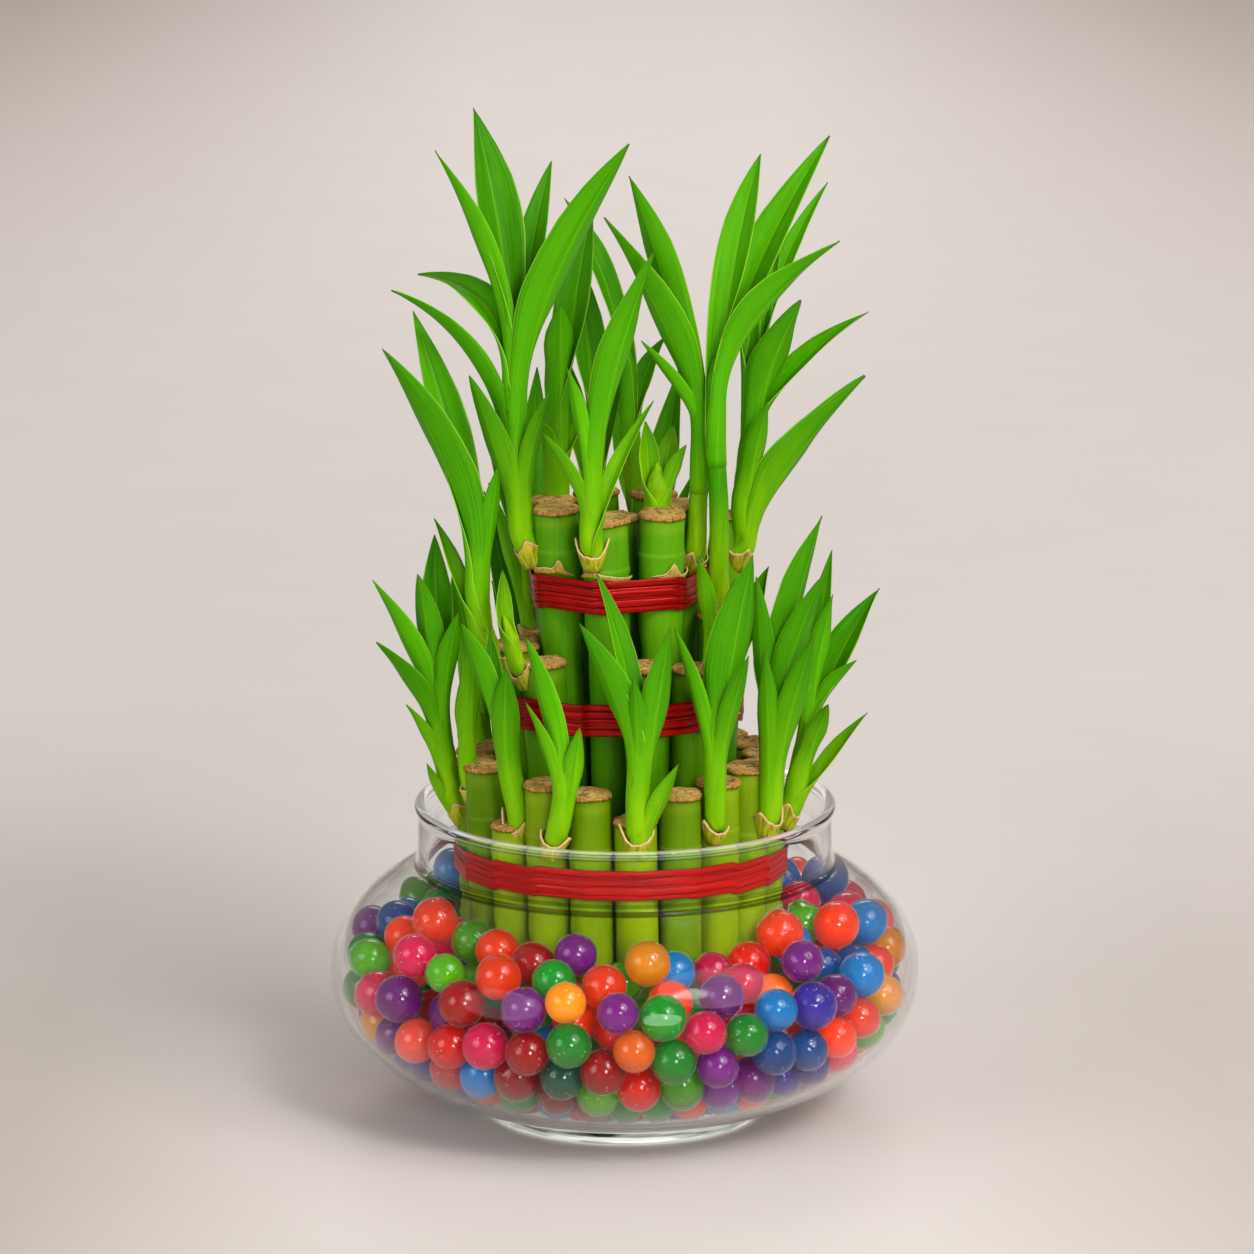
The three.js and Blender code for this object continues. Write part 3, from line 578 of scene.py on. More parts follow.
def outward(points, faces):
    """The same faces, turned round if they enclose a negative volume."""
    p, volume = np.asarray(points, float), 0.0
    for face in faces:
        for i in range(1, len(face) - 1):
            volume += np.dot(p[face[0]], np.cross(p[face[i]], p[face[i + 1]]))
    return faces if volume > 0 else [face[::-1] for face in faces]


def turned(profile, sides):
    """A closed profile from the axis to the axis, turned round it: points and faces."""
    points, rings = [], []
    for radius, z in profile:
        count = sides if radius > 0 else 1
        rings.append([len(points) + i % count for i in range(sides)])
        for i in range(count):
            a = 2 * math.pi * i / sides
            points.append((radius * math.cos(a), radius * math.sin(a), z))
    faces = []
    for low, high in zip(rings, rings[1:]):
        for i in range(sides):
            j = (i + 1) % sides
            face = [low[i], low[j], high[j], high[i]]
            faces.append([v for k, v in enumerate(face) if v not in face[:k]])
    return points, outward(points, faces)


BOWL_SIDES, BODY_STEPS = 144, 30
INNER_NECK = NECK_RADIUS - GLASS_WALL
FOOT = [(0, 1.4), (20, 1.3), (27.5, 1.1), (30.2, 0.7), (31.6, 0.15), (32.4, 0), (33.4, 0.05),
        (34.5, 0.3), (35.1, 0.9), (35.4, 1.9), (35.4, 3.0), (35.1, 3.8), (34.4, 4.3),
        (34.1, 4.7), (34.6, 5.0), (37.6, 5.3)]
NECK = [(54.0, 62.6), (52.7, 63.2), (51.95, 63.9), (51.65, 65.0), (NECK_RADIUS, 67.0),
        (NECK_RADIUS, 75.6), (51.75, 76.8), (52.15, 77.5)]
RIM = [(RIM_RADIUS, 78.2), (52.35, 78.9), (51.95, 79.35), (51.2, RIM_TOP_Z), (50.4, 79.45),
       (49.85, 79.1)]
INSIDE_NECK = [(INNER_NECK, 78.4), (INNER_NECK, 66.0), (INNER_NECK, 63.4), (49.9, 62.2),
               (50.6, 61.4)]
INSIDE_FLOOR = [(40.2, FLOOR_Z + 0.1), (37.0, FLOOR_Z), (18.0, FLOOR_Z), (0, FLOOR_Z)]
outside = FOOT + body_curve(5.7, 61.2, 0, BODY_STEPS) + NECK + RIM
inside = INSIDE_NECK + body_curve(60.4, FLOOR_Z + 0.35, GLASS_WALL, BODY_STEPS) + INSIDE_FLOOR
bowl_points, bowl_faces = turned(outside + inside, BOWL_SIDES)
bowl = shown("bowl", plain_mesh("bowl", bowl_points, bowl_faces), glass)
place(bowl, "clear_glass", ["glass_bowl"])

# %% [markdown]
# ## The water beads
#
# Water beads are balls of soft clear gel, a little over a centimetre across, tipped in by the
# cupful. Real ones settle until each rests on its neighbours. A few hundred rounds of a tiny
# packing sum do the same: the balls sink, push each other apart, and stay between the stalks and
# the glass. Every ball is then an instance of one sphere, and takes the colour that is written on
# its point. Gel glows where light leaves it, on the side away from the lamp, so the tree also
# marks that side of the ball. From that mark the finish paints light into the colour: each ball
# is lighter on that side and darker on the side that faces the lamp, and all of it glows a little.

# %% Where the beads lie
BEAD_RADIUS, BEAD_SIZES, BEAD_COUNT = 5.6, (0.9, 1.06), 352
BEAD_LEVEL, BEAD_RISE, LOWEST_START, WIDEST_START = 51.5, 6.0, 14, 60
WALL_CLEARANCE, FLOOR_CLEARANCE, STALK_CLEARANCE = 0.25, 0.2, 0.9
ROUNDS, SINKING_ROUNDS, SINK, PUSH, NOT_ITSELF = 260, 200, 0.12, 0.28, 99
HOLE_RADIUS = TIERS["bottom"]["ring"] + TIERS["bottom"]["radius"] + STALK_CLEARANCE
draw = np.random.default_rng(41)
radii = BEAD_RADIUS * draw.uniform(*BEAD_SIZES, BEAD_COUNT)
around = draw.uniform(0, 2 * math.pi, BEAD_COUNT)
out = draw.uniform(HOLE_RADIUS + BEAD_RISE, WIDEST_START, BEAD_COUNT)
start = draw.uniform(LOWEST_START, BEAD_LEVEL + BEAD_RISE, BEAD_COUNT)
beads = np.stack([out * np.cos(around), out * np.sin(around), start], 1)


def kept_in(points, radii):
    """Moves points back between the stalks, the glass and the floor; the bed is lower in front."""
    front = np.clip(-points[:, 1] / np.hypot(points[:, 0], points[:, 1]), 0, 1)
    lowest, highest = FLOOR_Z + FLOOR_CLEARANCE + radii, BEAD_LEVEL + BEAD_RISE * (1 - front)
    points[:, 2] = np.clip(points[:, 2], lowest, highest)
    inset = GLASS_WALL + WALL_CLEARANCE + radii
    half = BODY_HALF_HEIGHT - inset
    height = np.clip(np.abs(points[:, 2] - BODY_MIDDLE_Z) / half, 0, 0.999)
    widest = (BODY_RADIUS - inset) * (1 - height ** BODY_SQUARENESS) ** (1 / BODY_SQUARENESS)
    middle = BUNDLE_LEAN * (points[:, 2] - STALK_FOOT_Z)
    across = points[:, 0] - middle
    reach = np.hypot(across, points[:, 1])
    pushed = np.maximum(reach, HOLE_RADIUS + radii) / reach
    points[:, 0] = middle + across * pushed
    points[:, 1] *= pushed
    reach = np.hypot(points[:, 0], points[:, 1])
    points[:, :2] *= (np.minimum(reach, widest) / reach)[:, None]
    return points


for round_number in range(ROUNDS):
    beads[:, 2] -= SINK if round_number < SINKING_ROUNDS else 0.0
    gaps = beads[:, None, :] - beads[None, :, :]
    far = np.linalg.norm(gaps, axis=2) + np.eye(BEAD_COUNT) * NOT_ITSELF
    overlap = np.maximum(radii[:, None] + radii[None, :] - far, 0)
    beads += (gaps / far[:, :, None] * (overlap * PUSH)[:, :, None]).sum(1)
    beads = kept_in(beads, radii)
print("deepest overlap, mm:", round(float(overlap.max()), 2), "top:", round(beads[:, 2].max(), 1))

# %% Their colours
BEAD_COLOURS = [
    ("920000", 5), ("cc0e00", 5), ("ee3800", 5), ("f06800", 4), ("e48a00", 2), ("4c9e00", 5),
    ("008418", 6), ("00523a", 2), ("0078be", 6), ("00468c", 3), ("302088", 2), ("74107c", 6),
    ("cc0048", 4), ("ee4838", 2),
]
BEAD_BRIGHTNESS = (0.7, 1.15)
weights = np.array([share for _, share in BEAD_COLOURS], float)
picks = draw.choice(len(BEAD_COLOURS), BEAD_COUNT, p=weights / weights.sum())
bead_colours = np.array([paint(BEAD_COLOURS[k][0]) for k in picks])
bead_colours[:, :3] *= draw.uniform(*BEAD_BRIGHTNESS, (BEAD_COUNT, 1))
print("colours used:", len(set(picks)))

# %% The gel
gel = Finish("water_bead_gel", Roughness=0.1, IOR=1.34, Transmission_Weight=0.45,
             Specular_IOR_Level=0.0, Emission_Strength=0.06, Coat_Weight=1.0, Coat_Roughness=0.03,
             Coat_IOR=1.4, Sheen_Weight=0.22, Sheen_Roughness=0.25)
hue = gel.attribute("bead_colour", 0)
leaving = gel.attribute("leaving")
# White specks of tiny bubbles in the gel, which also glow as painted glints.
bubbles = gel.node("ShaderNodeTexVoronoi", None, {"Vector": gel.places(), "Scale": 0.9})
clusters = gel.noise(gel.places(), 0.3, 2.0).within(0.49, 0.57)
bubbles_and_glints = (1 - bubbles.within(0.06, 0.17)) * clusters
# Painted light: each ball is darker on the side that faces the lamp and lighter on the side away
# from it.
painted_shade_side, painted_glow_side = (0.3 - leaving).within(0.0, 1.2), leaving.within(0.15, 0.95)
painted_glow_hue = gel.layered(hue, (painted_shade_side * 0.6, gel.mix(0.65, hue, "100008")),
                      (painted_glow_side * 0.3, gel.mix(0.12, hue, "ffb070")))
gel.wear("Base Color", gel.mix(bubbles_and_glints * 0.8, painted_glow_hue, "ffffff"))
# Painted light: the emission makes every ball glow a little in its own colour.
gel.wear("Emission Color", gel.mix(bubbles_and_glints * 0.3, painted_glow_hue, "ffffff"))
gel.bump(gel.noise(gel.places(), 0.35, 2.0) + bubbles_and_glints * 0.5, 0.12, 0.3)
lit_through(gel, (0.9, 0.85, 0.82, 1), 0.55)
print("gel finish written")

# %% The bead tree, run once for the beads at the glass and once for those behind
bead_tree = Growth("beads_on_points", Radius="Float", Rounding="Int")
ball = bead_tree.node("GeometryNodeMeshIcoSphere", None, {
    "Radius": bead_tree.given("Radius"), "Subdivisions": bead_tree.given("Rounding")})
# The way light leaves the balls, away from the lamp, for the finish's painted light.
LIGHT_LEAVES = (-0.45, -0.45, -0.77)
facing_away = bead_tree.dot(bead_tree.node("GeometryNodeInputPosition"), LIGHT_LEAVES)
marked_ball = bead_tree.marked(ball, "leaving", facing_away / bead_tree.given("Radius"))
smooth_ball = bead_tree.node("GeometryNodeSetShadeSmooth", None, {0: marked_ball})
spread_out = bead_tree.node("GeometryNodeInstanceOnPoints", None, {
    "Points": bead_tree.given("Geometry"), "Instance": smooth_ball,
    "Scale": bead_tree.written("size")})
bead_tree.ends_in(spread_out)

NEAR_WALL, NEAR_TOP, ROUND, COARSE = 1.6, 5, 3, 2
nearest_wall = np.array([body_radius(z, GLASS_WALL) for z in beads[:, 2]])
seen = np.hypot(beads[:, 0], beads[:, 1]) + radii * NEAR_WALL > nearest_wall
seen |= beads[:, 2] > BEAD_LEVEL - NEAR_TOP
BEDS = (("beads_at_the_glass", seen, ROUND), ("beads_behind", ~seen, COARSE))
for name, chosen, rounding in BEDS:
    points = plain_mesh(name, beads[chosen], size=radii[chosen] / BEAD_RADIUS,
                        bead_colour=bead_colours[chosen])
    piece = bead_tree.grow(name, points, gel, Radius=BEAD_RADIUS * MM, Rounding=rounding)
    place(piece, "gel_beads", ["water_beads"])

# %% [markdown]
# ## The stalks
#
# A bamboo stalk is nearly a cylinder, but not a plain one: it swells at each node, carries a thin
# brown scar where a leaf once clasped it, and its cut end shrinks, browns and shows dry fibres. A
# cylinder edited by hand would have to be edited 39 times. Here each stalk is a line whose points
# know how thick the stalk is there, how far below the cut it is and whether there is a scar. One
# tree sweeps a circle along every line.

# %% The skin of a stalk, its scars and its dry cut end
def green_skin(name, dark, light, yellow):
    skin = Finish(name, Coat_Roughness=0.25, Specular_IOR_Level=0.08)
    cut, below, scar = (skin.attribute(label) for label in ("cut", "below", "scar"))
    tint, low = skin.attribute("tint"), skin.attribute("low")
    streaks = skin.noise(skin.places((1.3, 1.3, 0.035)), 1.0, 4.0)
    clouds = skin.noise(skin.places((0.12, 0.12, 0.05)), 1.0, 2.0)
    shade = (streaks * 0.4 + clouds * 0.6 + tint * 0.55 - 0.35).within(0, 0.85)
    near_foot = (low + streaks * 0.25 - 0.15).within(0.05, 1.0)
    ring = (scar + streaks * 0.3 - 0.1).within(0.25, 0.7)
    under_cut = (1 - abs(below - 3.4) * 0.5).within(0, 1) * (1 - cut)
    green = skin.layered(skin.mix(shade, dark, light), (near_foot * 0.85, yellow),
                         (ring * 0.18, "8f8d2c"), (under_cut * 0.12, "b9c23c"))
    fibres = skin.noise(skin.places((2.2, 2.2, 0.9)), 1.0, 3.0, 0.7)
    raggedness = (fibres - 0.5) * 1.6
    drying = (raggedness + 1.55 - below).within(0, 0.35)
    # Painted shade: a dark brown line just under the overhanging lip of the cut end.
    edge = (abs(below - 1.3 - raggedness) * 2.2).within(0.1, 0.9)
    tan = skin.layered("80561c", (fibres.within(0.35, 0.65), "cfa254"),
                       ((1 - edge) * 0.8, "3f280f"))
    pores = skin.node("ShaderNodeTexVoronoi", None, {"Vector": skin.places(), "Scale": 1.5})
    swirl = (skin.noise(skin.places((0.22, 0.22, 0.3)), 1.0, 1.0) * 30).sine()
    face = skin.layered("a4722c", (pores.within(0.1, 0.4), "e2b86c"),
                        (clouds.within(0.42, 0.6) * 0.6, "a9793f"),
                        (swirl.within(0.55, 0.98) * 0.65, "5e3c14"))
    dry = skin.mix(cut.within(0.25, 0.5), tan, face)
    dryness = drying.most(cut.within(0.02, 0.2))
    skin.wear("Base Color", skin.mix(dryness, green, dry))
    skin.wear("Roughness", dryness * 0.4 + streaks * 0.15 + 0.28)
    skin.wear("Coat Weight", (1 - dryness) * 0.05)
    skin.bump(streaks * 0.25 + fibres * (dryness * 1.8 + 0.05) + pores * dryness, 0.4, 0.6)
    return skin


stalk_skins = {
    "bottom": green_skin("stalk_skin_bottom", "427600", "80a000", "6a6204"),
    "middle": green_skin("stalk_skin_middle", "246c00", "64a002", "6f9a04"),
    "top": green_skin("stalk_skin_top", "2a7606", "66a80a", "6f9a08"),
}
print("stalk finishes:", list(stalk_skins))

# %% The tube tree: sweeps a circle along each line
LUMPS_A_METRE, RAGGED_MORE = 260.0, 4
tube_tree = Growth("tubes_along_lines", Sides="Int", Unevenness="Float")
lines = tube_tree.node("GeometryNodeMeshToCurve", None, {0: tube_tree.given("Geometry")})
circle = tube_tree.node("GeometryNodeCurvePrimitiveCircle", None,
                        {"Resolution": tube_tree.given("Sides"), "Radius": 1.0})
tube = tube_tree.node("GeometryNodeCurveToMesh", None, {
    0: lines, 1: circle, "Scale": tube_tree.written("girth") * MM, "Fill Caps": True})
normal = tube_tree.node("GeometryNodeInputNormal")
lumps = tube_tree.node("ShaderNodeTexNoise", None, {"Scale": LUMPS_A_METRE, "Detail": 2.0})
more = tube_tree.written("ragged") * RAGGED_MORE + 1
push = (lumps - 0.5) * tube_tree.given("Unevenness") * more
offset = tube_tree.node("ShaderNodeVectorMath", {"operation": "SCALE"}, {0: normal, "Scale": push})
uneven = tube_tree.node("GeometryNodeSetPosition", None, {0: tube, "Offset": offset})
tube_tree.ends_in(tube_tree.node("GeometryNodeSetShadeSmooth", None, {0: uneven}))


class Lines:
    """Points of many separate lines, with the numbers that the tube tree reads."""

    def __init__(self, *labels):
        self.points, self.edges, self.numbers = [], [], {label: [] for label in labels}

    def add(self, point, joined_on, **numbers):
        if joined_on:
            self.edges.append((len(self.points) - 1, len(self.points)))
        self.points.append(point)
        for label, values in self.numbers.items():
            values.append(numbers.get(label, 0.0))

    def mesh(self, name):
        return plain_mesh(name, self.points, (), self.edges, **self.numbers)


print("tube tree sockets:", [i.name for i in tube_tree.tree.interface.items_tree])

# %% One line for each stalk
# Heights above a node or the cut, how much the stalk swells there, and for a node the scar.
NODE_SHAPE = [(-3.4, 0.0, 0), (-1.6, 0.07, 0), (-0.6, 0.2, 0), (0.0, 0.24, 0),
              (0.45, 0.19, 0), (0.6, 0.08, 1), (0.95, 0.05, 1), (1.15, 0.05, 0), (2.4, 0.0, 0)]
CUT_SHAPE = [(-5.0, -0.02), (-3.2, -0.04), (-2.2, -0.06), (-1.55, -0.08), (-1.35, 0.1),
             (-1.1, 0.28), (-0.7, 0.34), (-0.35, 0.22), (-0.12, -0.05)]
CUT_FACE = [(0.0, 0.92), (0.02, 0.8), (0.04, 0.64), (0.06, 0.46), (0.08, 0.26), (0.1, 0.04)]
NODE_SPACING, LOWEST_NODE, NODE_REACH, STATION_STEP = (36, 44), 20, 4, 4.0
NODE_TOP, CUT_REACH, LAST_STATION, RAGGED_REACH = 2.6, 5.2, 6.5, 1.4
FATNESS, FOOT_RISE, FOOT_INSET, YELLOW_REACH, FAR_BELOW = (0.98, 1.0), 0.6, 0.5, 90, 99


def stalk_line(lines, middle_at, radius_at, top, node_z, seed):
    """A line from the stalk's foot to the middle of its cut face."""
    own = random.Random(seed)
    nodes, z = [], node_z
    while z > LOWEST_NODE:
        nodes.append(z)
        z -= own.uniform(*NODE_SPACING)
    nodes = [n for n in nodes if n + NODE_TOP < top - CUT_REACH]
    plain = np.arange(STALK_FOOT_Z + FOOT_RISE, top - LAST_STATION, STATION_STEP)
    stations = [(z, 0.0, 0.0) for z in plain if all(abs(z - n) > NODE_REACH for n in nodes)]
    stations += [(n + dz, swell, scar) for n in nodes for dz, swell, scar in NODE_SHAPE]
    stations += [(top + dz, swell, 0.0) for dz, swell in CUT_SHAPE]
    tint, fat = own.random(), own.uniform(*FATNESS)
    lines.add(middle_at(STALK_FOOT_Z), False, girth=radius_at(0) - FOOT_INSET, tint=tint, low=1,
              below=FAR_BELOW)
    for z, swell, scar in sorted(stations):
        low = max(0.0, 1 - (z - STALK_FOOT_Z) / YELLOW_REACH)
        ragged = 1.0 if top - z < RAGGED_REACH else 0.0
        lines.add(middle_at(z), True, girth=radius_at(z) * fat + swell, below=top - z, scar=scar,
                  tint=tint, low=low, ragged=ragged)
    for rise, share in CUT_FACE:
        lines.add(middle_at(top + rise), True, girth=radius_at(top) * share, cut=1, tint=tint,
                  ragged=1)


LINE_NUMBERS = ("girth", "below", "scar", "tint", "low", "cut", "ragged")
STALK_SIDES, STALK_UNEVENNESS = 28, 0.3
for tier_name, tier in TIERS.items():
    stalk_lines, names = Lines(*LINE_NUMBERS), []
    for number, (name, angle, top, node_z, splay, thin) in enumerate(stalk_list(tier_name)):
        stalk_line(stalk_lines, lambda z: ring_point(tier, angle, z, splay),
                   lambda z: stalk_radius(tier, z, thin), top, node_z, f"{tier_name}{number}")
        names.append(name)
    if tier_name == "top":
        stalk_line(stalk_lines, lambda z: np.array([bundle_x(z), 0, z]),
                   lambda z: stalk_radius(tier, z), CORE_TOP, tier["node"], "core")
        names.append("stalk_core")
    piece = tube_tree.grow(f"stalks_{tier_name}", stalk_lines.mesh("lines"),
                           stalk_skins[tier_name], Sides=STALK_SIDES,
                           Unevenness=STALK_UNEVENNESS * MM)
    place(piece, "bamboo_green", names)

# %% [markdown]
# ## The stems of the shoots
#
# A shoot breaks out of the stalk, bends upwards and thickens a little where its leaves clasp it.
# It is yellow-green low down and deepens higher up. It follows a path with a changing thickness,
# so the same tube tree makes it. The finish reads how many millimetres a point is above the
# shoot's foot, and the leaves read the same number, so that stem and leaves run into each other.

# %% The stem finish
def shoot_green(finish, rise, shade, grain):
    """The green of a shoot at a height above its foot, darker or lighter with shade."""
    green = finish.mix((shade * 0.8 + grain * 0.5 - 0.2).within(0, 1), "176400", "55b000")
    young = finish.mix(grain.within(0.3, 0.7), "74b000", "aed204")
    return finish.mix((rise + grain * 12).within(8, 44), young, green)


stem_skin = Finish("shoot_stem_skin", Coat_Roughness=0.3, Specular_IOR_Level=0.07)
rise, tint = stem_skin.attribute("rise"), stem_skin.attribute("tint")
grain = stem_skin.noise(stem_skin.places((1.1, 1.1, 0.12)), 1.0, 3.0)
stem_skin.wear("Base Color", shoot_green(stem_skin, rise, tint * 0.2 + 0.4, grain))
stem_skin.wear("Roughness", grain * 0.2 + 0.34)
stem_skin.wear("Coat Weight", grain * 0.03)
stem_skin.bump(grain, 0.2, 0.5)
print("stem finish written")

# %% The path of a stem
STEM_FOOT, STEM_STEPS = 0.88, 36


class Stem:
    """The path of a shoot, which can be asked for its place and heading at a length in mm."""

    def __init__(self, points):
        self.curve = stem_curve(points)
        self.shares = np.linspace(0, 1, STEM_STEPS + 1)
        spots = np.array([self.curve(share) for share in self.shares])
        steps = np.linalg.norm(np.diff(spots, axis=0), axis=1)
        self.lengths = np.concatenate([[0], np.cumsum(steps)])

    def share(self, length):
        return float(np.interp(length, self.lengths, self.shares))

    def place(self, length):
        return self.curve(self.share(length))

    def heading(self, length):
        return heading(self.curve, self.share(length))


def stem_radius(shoot, share):
    """The stem tapers less than its solid, because the sleeves of its leaves are part of it."""
    low, high = shoot[2]
    return low * STEM_FOOT + (high - low * STEM_FOOT) * share


print("first stem, length in mm:", round(Stem(SHOOTS[0][3]).lengths[-1], 1))

# %% One line for each stem
STEM_TIP, STEM_SIDES, STEM_UNEVENNESS = ((1, 0.9), (3, 0.65), (5, 0.35), (6.5, 0.05)), 16, 0.25
# How much a stem is pinched at its foot and swells where it is clasped, where, and how far along.
PINCH, PINCHED_TO, PINCH_REACH = 0.7, 3, 3.2
CLASP, CLASPED_AT, CLASP_REACH = 0.25, 10, 4


def stem_line(lines, shoot):
    tier, angle, _, points, _ = shoot
    stem = Stem(points)
    curve, lengths = stem.curve, stem.lengths
    tint = random.Random(f"stem{tier}{angle}").random()
    for i, length in enumerate(lengths):
        share = i / STEM_STEPS
        clasped = CLASP * math.exp(-((length - CLASPED_AT) / CLASP_REACH) ** 2)
        pinched = PINCH * math.exp(-(max(length - PINCHED_TO, 0) / PINCH_REACH) ** 2)
        girth = stem_radius(shoot, share) + (clasped - pinched)
        lines.add(curve(share), i > 0, girth=girth, rise=length, tint=tint)
    tip, way = curve(1.0), heading(curve, 1.0)
    for beyond, share in STEM_TIP:
        girth = stem_radius(shoot, 1) * share
        lines.add(tip + way * beyond, True, girth=girth, rise=lengths[-1], tint=tint)


def stalk_of(shoot):
    """The node name of the stalk that a shoot grows on."""
    return next(name for name, angle, *_ in stalk_list(shoot[0]) if same_place(angle, shoot[1]))


for tier_name in TIERS:
    own_shoots = [shoot for shoot in SHOOTS if shoot[0] == tier_name]
    stem_lines = Lines("girth", "rise", "tint", "ragged")
    for shoot in own_shoots:
        stem_line(stem_lines, shoot)
    piece = tube_tree.grow(f"shoot_stems_{tier_name}", stem_lines.mesh("lines"), stem_skin,
                           Sides=STEM_SIDES, Unevenness=STEM_UNEVENNESS * MM)
    place(piece, "bamboo_green", [stalk_of(shoot) for shoot in own_shoots])

# %% [markdown]
# ## Thin sheets with two faces
#
# Leaves and dry scales are thin sheets. A single surface would do for a picture, but it has no
# thickness to print or to hold. `Sheets` takes a grid of points, gives it a thickness along its
# own normals and stitches the edges, with a map of where each point lies on the sheet.

# %% Sheets from grids of points
class Sheets:
    """Closed thin sheets in one mesh, with u across, v along and the lower face marked."""

    def __init__(self):
        self.points, self.faces, self.uv = [], [], []
        self.numbers = {"under": [], "shade": [], "rise": []}

    def add(self, grid, thickness, shade, along, rise):
        """grid is rows by columns by 3, thickness rows by columns; along and rise are for rows."""
        rows, columns = grid.shape[:2]
        normal = np.cross(np.gradient(grid, axis=1), np.gradient(grid, axis=0))
        normal /= np.maximum(np.linalg.norm(normal, axis=2, keepdims=True), 1e-9)
        first, count = len(self.points), rows * columns
        for under, sign in ((0, 0.5), (1, -0.5)):
            face = grid + normal * (thickness * sign)[:, :, None]
            self.points += list(face.reshape(-1, 3))
            self.uv += [(j / (columns - 1), along[i]) for i in range(rows) for j in range(columns)]
            self.numbers["under"] += [under] * count
            self.numbers["shade"] += [shade] * count
            self.numbers["rise"] += [rise[i] for i in range(rows) for _ in range(columns)]

        def wall(a, b):
            """The narrow face between two neighbours on the rim."""
            self.faces.append((a, b, b + count, a + count))

        for i in range(rows - 1):
            for j in range(columns - 1):
                a = first + i * columns + j
                face = (a, a + 1, a + columns + 1, a + columns)
                self.faces += [face, tuple(v + count for v in face[::-1])]
            wall(first + i * columns, first + (i + 1) * columns)
            wall(first + (i + 2) * columns - 1, first + (i + 1) * columns - 1)
        for j in range(columns - 1):
            wall(first + j + 1, first + j)
            wall(first + count - columns + j, first + count - columns + j + 1)

    def add_even(self, grid, thickness, shade):
        """A sheet of one thickness, its rows evenly spread along the map."""
        rows = np.linspace(0, 1, len(grid))
        self.add(grid, np.full(grid.shape[:2], thickness), shade, rows, rows)

    def piece(self, name, finish):
        mesh = plain_mesh(name, self.points, self.faces, **self.numbers)
        layer = mesh.uv_layers.new(name="sheet")
        corners = np.zeros(len(mesh.loops), int)
        mesh.loops.foreach_get("vertex_index", corners)
        layer.data.foreach_set("uv", np.asarray(self.uv, np.float32)[corners].ravel())
        return shown(name, mesh, finish)


def sheet_map(finish):
    """The map of a sheet: across, along, and both together."""
    where = finish.node("ShaderNodeTexCoord", out=2)
    across, along, _ = finish.split(where)
    return across, along, where


print("ready to make sheets")

# %% [markdown]
# ## The leaves
#
# A leaf is a long pointed blade with fine parallel veins and a satin wax. Its foot is a sleeve
# that wraps the stem, and the sleeve opens into the blade little by little: first a tube, then a
# gutter, then nearly flat. A flat plane with a picture of a leaf would look right from one side
# only, so each leaf is a grid whose rows are arcs that grow wider and flatter on the way to the
# tip.

# %% The leaf finish
VEINS = 15
leaf_skin = Finish("leaf_skin", Coat_Roughness=0.3, Specular_IOR_Level=0.06,
                   Emission_Strength=0.03)
u, v, spot = sheet_map(leaf_skin)
under, shade, rise = (leaf_skin.attribute(label) for label in ("under", "shade", "rise"))
grain = leaf_skin.noise(leaf_skin.places((0.35, 0.35, 0.1)), 1.0, 3.0)
threads = leaf_skin.noise(leaf_skin.stretched(spot, (60.0, 1.6, 1.0)), 1.0, 2.0)
veins = (u * 2 * math.pi * VEINS).sine() * 0.5 + 0.5
opened = v.within(-0.15, 0.25)
green = shoot_green(leaf_skin, rise, shade * opened + (1 - opened) * 0.5, grain)
bands = leaf_skin.noise(leaf_skin.stretched(spot, (9.0, 0.6, 1.0)), 1.0, 1.0)
# Painted shade: one half of each leaf is darker, the half chosen by its shade; the broad bands are
# the leaf's own streaks.
painted_shade_half = ((u - 0.5) * (shade - 0.5) * 12 + 0.5).within(0.25, 0.75) * opened
from_middle = abs(u - 0.5)
rib, rim = 1 - from_middle.within(0.0, 0.045), from_middle.within(0.474, 0.492)
dry_tip = (v + grain * 0.05).within(0.985, 1.02)
green = leaf_skin.layered(
    green, ((bands.within(0.45, 0.65) * 0.35 + painted_shade_half * 0.3) * opened, "1a6a00"),
    (threads.within(0.42, 0.66) * 0.35, "78c608"), (rib * 0.3, "86cc1c"), (rim * 0.6, "b4d848"),
    (under * 0.3, "55ac08"), (v.within(0.65, 1.0) * 0.35, "1f6600"), (dry_tip * 0.7, "4c6414"))
leaf_skin.wear("Base Color", green)
# Painted light: the leaves glow a little in their own green.
leaf_skin.wear("Emission Color", green)
leaf_skin.wear("Roughness", threads * 0.2 + under * 0.15 + 0.3)
leaf_skin.wear("Coat Weight", (1 - under) * 0.02)
leaf_skin.bump(veins * 0.4 + threads * 0.6, 0.12, 0.5)
print("leaf finish written")

# %% Measures of a leaf
SLEEVE_ROWS, BLADE_ROWS, LEAF_COLUMNS = 7, 28, 9
ACROSS = np.linspace(-1, 1, LEAF_COLUMNS)
WIDTH_AT = np.array([0.0, 0.1, 0.22, 0.34, 0.48, 0.6, 0.72, 0.83, 0.91, 0.96, 0.985, 1.0])
WIDTHS = np.array([0.5, 0.55, 0.72, 0.88, 0.99, 1.0, 0.88, 0.62, 0.37, 0.19, 0.1, 0.015])
WIDER, KEEL, FACING, RIPPLE, TWIST, WAVES = 1.14, 0.13, 0.5, 0.03, (-0.25, 0.25), (1.2, 2.4)
SLEEVE_LENGTH, SLEEVE_SHARE, SLEEVE_WRAP, BLADE_CUP = 16.0, 0.75, 3.1, 0.45
SLEEVE_LAYER, SLEEVE_LAYERS, INNER_OPENS, OUTER_OPENS = 0.12, 3, 1.8, 2.4
TURNED_BY, FLAT_BY, CLOSER_AT_FOOT, ROUND_TURN = 0.5, 0.66, 1.06, 6.28
SLEEVE_V, CLEAR_BY = -0.25, 0.625


def unit(v):
    return v / max(np.linalg.norm(v), 1e-9)


